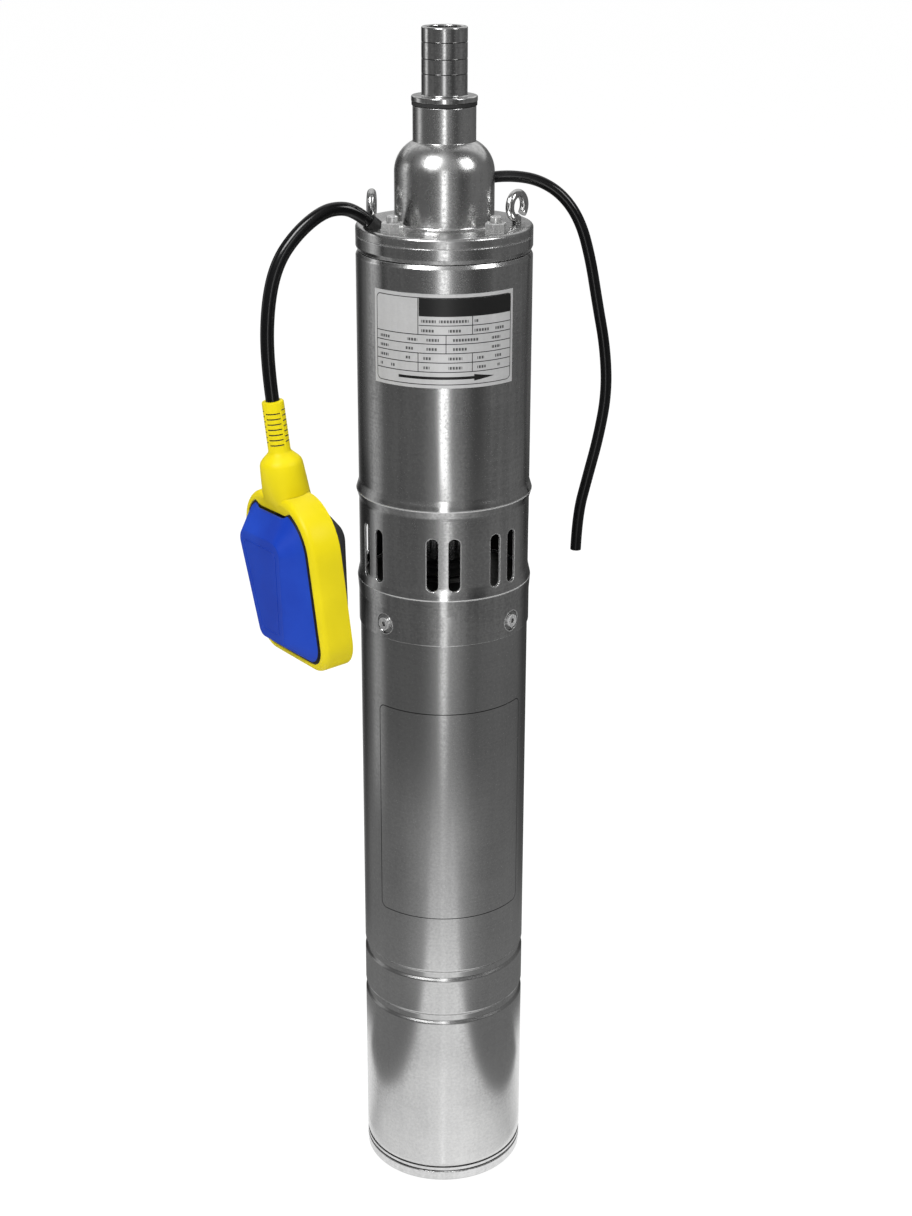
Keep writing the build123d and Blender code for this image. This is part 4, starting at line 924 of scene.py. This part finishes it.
# Boot and shoulder: height, half width, half depth in front and behind, squareness in front
boot_rings = [
    (0.0, 5.3, 5.3, 5.3, 2.0), (-0.2, 5.75, 5.75, 5.75, 2.0), (-0.8, 6.0, 6.0, 6.0, 2.0),
    (-27.6, 6.1, 6.1, 6.1, 2.0), (-28.6, 6.6, 6.6, 6.6, 2.0), (-30.2, 8.2, 8.2, 8.2, 2.0),
    (-32.0, 10.1, 10.1, 10.1, 2.0), (-33.4, 11.2, 11.2, 11.2, 2.0), (-35.0, 11.75, 11.7, 11.75, 2.0),
    (-38.0, 12.1, 11.8, 12.1, 2.05), (-44.0, 12.7, 11.7, 12.7, 2.2), (-50.0, 13.3, 11.2, 13.3, 2.5),
    (-54.0, 13.7, 10.4, 13.7, 2.8), (-56.9, 14.0, 9.7, 14.0, 3.1), (-57.1, 14.0, 9.65, 8.2, 3.1),
    (-59.4, 14.1, 9.15, 8.2, 3.4),
]
boot_slots = 14
boot_slot_first = 5.0
boot_slot_step = 1.45
boot_slot_width = 0.7
boot_slot_in = 4.2
boot_slot_out = 8.0
boot_slot_half = 3.8
boot_slot_turn = 145.0


def boot_ring(z, half_width, front, behind, squareness, count=56):
    points = []
    for k in range(count):
        turn = 2 * math.pi * k / count
        along, across = math.cos(turn), math.sin(turn)
        power = 2 / squareness if along > 0 else 1.0
        depth = front if along > 0 else behind
        points.append((
            depth * math.copysign(abs(along) ** power, along),
            half_width * math.copysign(abs(across) ** power, across),
            z,
        ))
    return points


def slot_cutter():
    """Facing pairs of slots in the boot, each pair square to the one above."""
    corners = ((boot_slot_in, -1), (boot_slot_out, -1), (boot_slot_out, 1), (boot_slot_in, 1))
    points, faces = [], []
    for k in range(boot_slots):
        low = -boot_slot_first - boot_slot_step * k
        for half_turn in (0, 180):
            turn = math.radians(boot_slot_turn + 90 * (k % 2) + half_turn)
            start = len(points)
            for z in (low, low + boot_slot_width):
                for out, side in corners:
                    points.append(float_place(
                        out * math.cos(turn) - side * boot_slot_half * math.sin(turn),
                        out * math.sin(turn) + side * boot_slot_half * math.cos(turn),
                        z,
                    ))
            for face in ((0, 3, 2, 1), (4, 5, 6, 7), (0, 1, 5, 4), (1, 2, 6, 5), (2, 3, 7, 6), (3, 0, 4, 7)):
                faces.append([start + corner for corner in face])
    mesh = bpy.data.meshes.new("slot_cutter")
    mesh.from_pydata(points, [], faces)
    return put_in_scene("slot_cutter", mesh)


def tongue_loop(grow):
    """Foot of the shoulder where it runs out into the rim."""
    half = tongue_half_width + 0.5 * grow
    tip = half + tongue_flare
    end = tongue_end - grow
    root = tongue_root - 0.5 * grow
    return rounded_loop(
        [(-half, end), (half, end), (tip, root), (half, tongue_top), (-half, tongue_top), (-tip, root)],
        [tongue_round] * 2 + [tongue_corner] * 4,
    )


def moulded_frame():
    rings = [at_depth(body_loop(inset), x) for inset, x in frame_section]
    piece = skinned("float_frame_moulded", rings, True)
    tongue = [at_depth(tongue_loop(grow), x) for grow, x in tongue_section]
    combine(piece, skinned("tongue", tongue, False), "UNION")
    combine(piece, skinned("shoulder", [boot_ring(*ring) for ring in boot_rings], False), "UNION")
    combine(piece, slot_cutter(), "DIFFERENCE")
    finish_float_piece(piece, "float_frame", yellow_plastic)


def moulded_front_shell():
    foot = body_loop(rim_width + shell_gap)
    brow = body_loop(rim_width + shell_gap + brow_inset)
    edge = face_loop(0.0)
    rings = [at_depth(foot, shell_foot_x), at_depth(foot, shell_side_x), at_depth(brow, slope_start)]
    for share in slope_shares:
        x = slope_start + (slope_end - slope_start) * share
        rings.append(at_depth(between(brow, edge, share * slope_reach), x))
    rings.append(at_depth(between(brow, edge, face_round_reach), face_round_x))
    rings += [at_depth(face_loop(inset), x) for inset, x in face_section]
    piece = skinned("float_front_shell_moulded", rings, False)
    under = body_loop(rim_width + shell_gap + shell_wall)
    back = face_loop(hollow_top_inset)
    hollow = [
        at_depth(under, ledge_x - 1.0), at_depth(under, slope_start),
        at_depth(between(under, back, 0.5), hollow_middle_x), at_depth(back, face_x - shell_wall),
    ]
    combine(piece, skinned("hollow", hollow, False), "DIFFERENCE")
    notch = [at_depth(tongue_loop(shell_gap), x) for x in (notch_from, notch_to)]
    combine(piece, skinned("notch", notch, False), "DIFFERENCE")
    finish_float_piece(piece, "float_front_shell", blue_plastic)


moulded_frame()
moulded_front_shell()


# Soft strip: one light or dark band of the grey tent, by azimuth and by reach
def make_soft_strip():
    tree, given, out = new_group(
        "soft_strip",
        [
            ("Azimuth", 0.0), ("Reach", 0.0), ("Centre", 0.0), ("Half width", 10.0), ("Softness", 5.0),
            ("From", 0.0), ("To", 2.0), ("Level", 1.0),
        ],
        [("Value", "NodeSocketFloat")],
    )
    maths = partial(math_node, tree)
    end_softness = 0.04
    apart = maths("ABSOLUTE", maths("SUBTRACT", given["Azimuth"], given["Centre"]))
    apart = maths("MINIMUM", apart, maths("SUBTRACT", 360.0, apart))
    outside = maths("ADD", given["Half width"], given["Softness"])
    inside = maths("SUBTRACT", given["Half width"], given["Softness"])
    whole = smooth_step(tree, apart, outside, inside)
    for end, outwards, inwards in (("From", "SUBTRACT", "ADD"), ("To", "ADD", "SUBTRACT")):
        clear_of = maths(outwards, given[end], end_softness)
        well_in = maths(inwards, given[end], end_softness)
        whole = maths("MULTIPLY", whole, smooth_step(tree, given["Reach"], clear_of, well_in))
    tree.links.new(maths("MULTIPLY", whole, given["Level"]), out["Value"])
    return tree


# Grey tent: the dim studio that the steel mirrors
tent_profile = [(0.06, 0.0008), (0.3, 0.002), (0.42, 0.04), (0.45, 0.12), (0.45, 0.76)]
tent_base = 0.115
tent_least = 0.02
low_glow = 0.06
sheet_level = 0.82
sheet_left, sheet_right, sheet_back = -0.119, 0.112, 0.075
side_softness = 0.006
back_softness = 0.012
# Fades: where there is none, and where it is whole
front_fade = (0.13, 0.07)
back_fade = (0.2, 0.12)
sheet_fade = (0.54, 0.18)
low_glow_fade = (0.62, 0.25)
# Centre (degrees from the front, towards +X), half width, softness, reach from, reach to, level
tent_strips = [
    (0, 4, 3, 0.54, 0.68, 0.75),
    (5, 4, 3, 0.68, 0.78, 0.75),
    (3, 14, 12, 0.56, 0.78, 0.08),
    (0, 4, 3, 0.78, 1.4, 2.7),
    (0, 1.5, 1.5, 0.0, 0.56, 0.25),
    (5, 22, 16, 0.0, 1.4, 0.12),
    (-100, 11, 10, 0.5, 1.4, 0.27),
    (-165, 8, 8, 0.0, 1.4, 0.28),
    (85, 35, 20, 0.0, 1.4, 0.04),
    (180, 14, 6, 0.66, 1.4, 0.25),
    (-138, 10, 8, 0.3, 1.4, -0.08),
    (42, 12, 8, 0.76, 1.4, -0.06),
    (0, 40, 30, 0.26, 0.5, 0.24),
    (-85, 45, 30, 0.1, 0.52, 0.05),
    (150, 22, 10, 0.34, 0.78, -0.06),
    (-120, 13, 6, 0.66, 0.77, -0.13),
    (-100, 8, 5, 0.95, 1.4, 0.28),
    (-100, 7, 4, 1.08, 1.4, 0.4),
    (-84, 5, 3, 1.08, 1.4, -0.1),
]

# Shades of the white sheet, in the same terms: it falls off to both sides and far in front
sheet_shades = [
    (82, 20, 28, 0.0, 0.17, 0.42),
    (-92, 8, 14, 0.0, 0.15, 0.36),
    (-75, 22, 20, 0.0, 0.15, 0.12),
    (0, 14, 16, 0.22, 0.5, 0.3),
]


def grey_tent():
    """Only mirror rays meet the tent, so it neither lights the pump nor shades it. Its strips
    and shades are placed by azimuth and by reach, which is distance from the axis plus height."""
    steps = 96
    points = []
    for distance, height in tent_profile:
        for k in range(steps):
            turn = 2 * math.pi * k / steps
            points.append((distance * math.sin(turn), -distance * math.cos(turn), height))
    faces = []
    for ring in range(len(tent_profile) - 1):
        for k in range(steps):
            a, b = ring * steps + k, ring * steps + (k + 1) % steps
            faces.append((a, b, b + steps, a + steps))
    mesh = bpy.data.meshes.new("grey_tent")
    mesh.from_pydata(points, [], faces)
    tent = put_in_scene("grey_tent", mesh)
    tent.visible_camera = False
    tent.visible_diffuse = False
    tent.visible_shadow = False
    tent.visible_transmission = False
    tent.visible_volume_scatter = False
    material, tree, shader = new_material("grey_tent")
    material.cycles.emission_sampling = "NONE"
    tree.nodes.remove(shader)
    glow = tree.nodes.new("ShaderNodeEmission")
    tree.links.new(glow.outputs[0], tree.nodes["Material Output"].inputs["Surface"])
    maths = partial(math_node, tree)
    step = partial(smooth_step, tree)
    x, y, z = split(tree, object_place(tree))
    azimuth = maths("DEGREES", turn_from_front(tree, x, y))
    reach = maths("ADD", length_of(tree, x, y), z)

    def strip_value(centre, half_width, softness, start, end, amount):
        return place_group(
            tree, soft_strip, Azimuth=azimuth, Reach=reach, Centre=centre, Half_width=half_width,
            Softness=softness, From=start, To=end, Level=amount,
        )["Value"]

    # The pump stands on a white sheet that runs towards the camera
    left = step(x, sheet_left - side_softness, sheet_left + side_softness)
    right = step(x, sheet_right + side_softness, sheet_right - side_softness)
    back = step(y, sheet_back - back_softness, sheet_back + back_softness)
    back = maths("MULTIPLY", back, step(reach, *back_fade))
    front = maths("MULTIPLY", maths("MULTIPLY", left, right), step(y, *front_fade))
    sheet = maths("MULTIPLY", maths("MAXIMUM", front, back), step(reach, *sheet_fade))
    for shade in sheet_shades:
        sheet = maths("MULTIPLY", sheet, maths("SUBTRACT", 1.0, strip_value(*shade)))
    level = maths("MULTIPLY_ADD", sheet, sheet_level, tent_base)
    level = maths("MULTIPLY_ADD", step(reach, *low_glow_fade), low_glow, level)
    for strip in tent_strips:
        level = maths("ADD", level, strip_value(*strip))
    tree.links.new(maths("MAXIMUM", level, tent_least), glow.inputs["Strength"])
    mesh.materials.append(material)


# Floor and light: a white floor, a room that the camera sees as white, and soft lamps
def stage_floor():
    half = 40.0
    floor_glow = 1.09
    glow_share = 0.85
    corners = [(-half, -half, 0), (half, -half, 0), (half, half, 0), (-half, half, 0)]
    mesh = bpy.data.meshes.new("studio_floor")
    mesh.from_pydata(corners, [], [(0, 1, 2, 3)])
    floor = put_in_scene("studio_floor", mesh)
    material, tree, shader = new_material("studio_floor")
    shader.inputs["Base Color"].default_value = (0.9, 0.9, 0.9, 1.0)
    shader.inputs["Roughness"].default_value = 0.9
    glow = tree.nodes.new("ShaderNodeEmission")
    glow.inputs["Strength"].default_value = floor_glow
    maths = partial(math_node, tree)
    rays = tree.nodes.new("ShaderNodeLightPath").outputs
    seen = maths("MAXIMUM", rays["Is Glossy Ray"], rays["Is Transmission Ray"])
    seen = maths("MAXIMUM", rays["Is Camera Ray"], seen)
    mix = tree.nodes.new("ShaderNodeMixShader")
    tree.links.new(maths("MULTIPLY", seen, glow_share), mix.inputs[0])
    tree.links.new(shader.outputs[0], mix.inputs[1])
    tree.links.new(glow.outputs[0], mix.inputs[2])
    tree.links.new(mix.outputs[0], tree.nodes["Material Output"].inputs["Surface"])
    mesh.materials.append(material)


def area_light(name, place, aim, width, height, watts):
    data = bpy.data.lights.new(name, "AREA")
    data.shape = "RECTANGLE"
    data.size = width
    data.size_y = height
    data.energy = watts
    light = put_in_scene(name, data)
    light.location = place
    light.rotation_euler = (Vector(aim) - Vector(place)).to_track_quat("-Z", "Y").to_euler()
    light.visible_camera = False
    return light


# The room's level by azimuth, from 0 to 1 right round: 0.5 is on the camera's side
room_levels = [
    (0.0, 1.0), (0.10, 0.95), (0.17, 0.35), (0.25, 0.10), (0.33, 0.22), (0.41, 0.5), (0.455, 1.0),
    (0.49, 0.75), (0.54, 0.42), (0.62, 0.2), (0.72, 0.08), (0.80, 0.22), (0.88, 0.9), (1.0, 1.0),
]


def room_world():
    world = bpy.data.worlds.new("studio_room")
    scene.world = world
    world.use_nodes = True
    tree = world.node_tree
    background = tree.nodes["Background"]
    maths = partial(math_node, tree)
    x, y = split(tree, tree.nodes.new("ShaderNodeTexCoord").outputs["Generated"])[:2]
    share = maths("MULTIPLY_ADD", turn_from_front(tree, x, y), 1 / (2 * math.pi), 0.5)
    ramp = tree.nodes.new("ShaderNodeValToRGB")
    ramp.color_ramp.interpolation = "EASE"
    stops = ramp.color_ramp.elements
    while len(stops) > 1:
        stops.remove(stops[-1])
    for number, (position, level) in enumerate(room_levels):
        stop = stops.new(position) if number else stops[0]
        stop.position = position
        stop.color = (*grey(level), 1.0)
    tree.links.new(share, ramp.inputs[0])
    rays = tree.nodes.new("ShaderNodeLightPath").outputs
    seen = colour_mix(tree, rays["Is Camera Ray"], ramp.outputs["Color"], grey(1.0))
    tree.links.new(seen, background.inputs["Color"])
    # Mirror rays meet a dimmer room
    strength = maths("MULTIPLY_ADD", rays["Is Glossy Ray"], -0.25, 1.0)
    tree.links.new(strength, background.inputs["Strength"])


soft_strip = make_soft_strip()
stage_floor()
grey_tent()
room_world()
# Lamps: place, point that they face, width, height and watts
area_light("key_softbox", (-0.85, -1.25, 2.0), (0, 0, 0.4), 0.7, 1.0, 33)
area_light("fill_softbox", (1.75, -0.9, 1.9), (0, 0, 0.4), 0.8, 1.0, 18)
top_softbox = area_light("top_softbox", (0.1, 0.2, 2.2), (0, 0, 0.5), 1.2, 1.2, 16)
top_softbox.visible_glossy = False
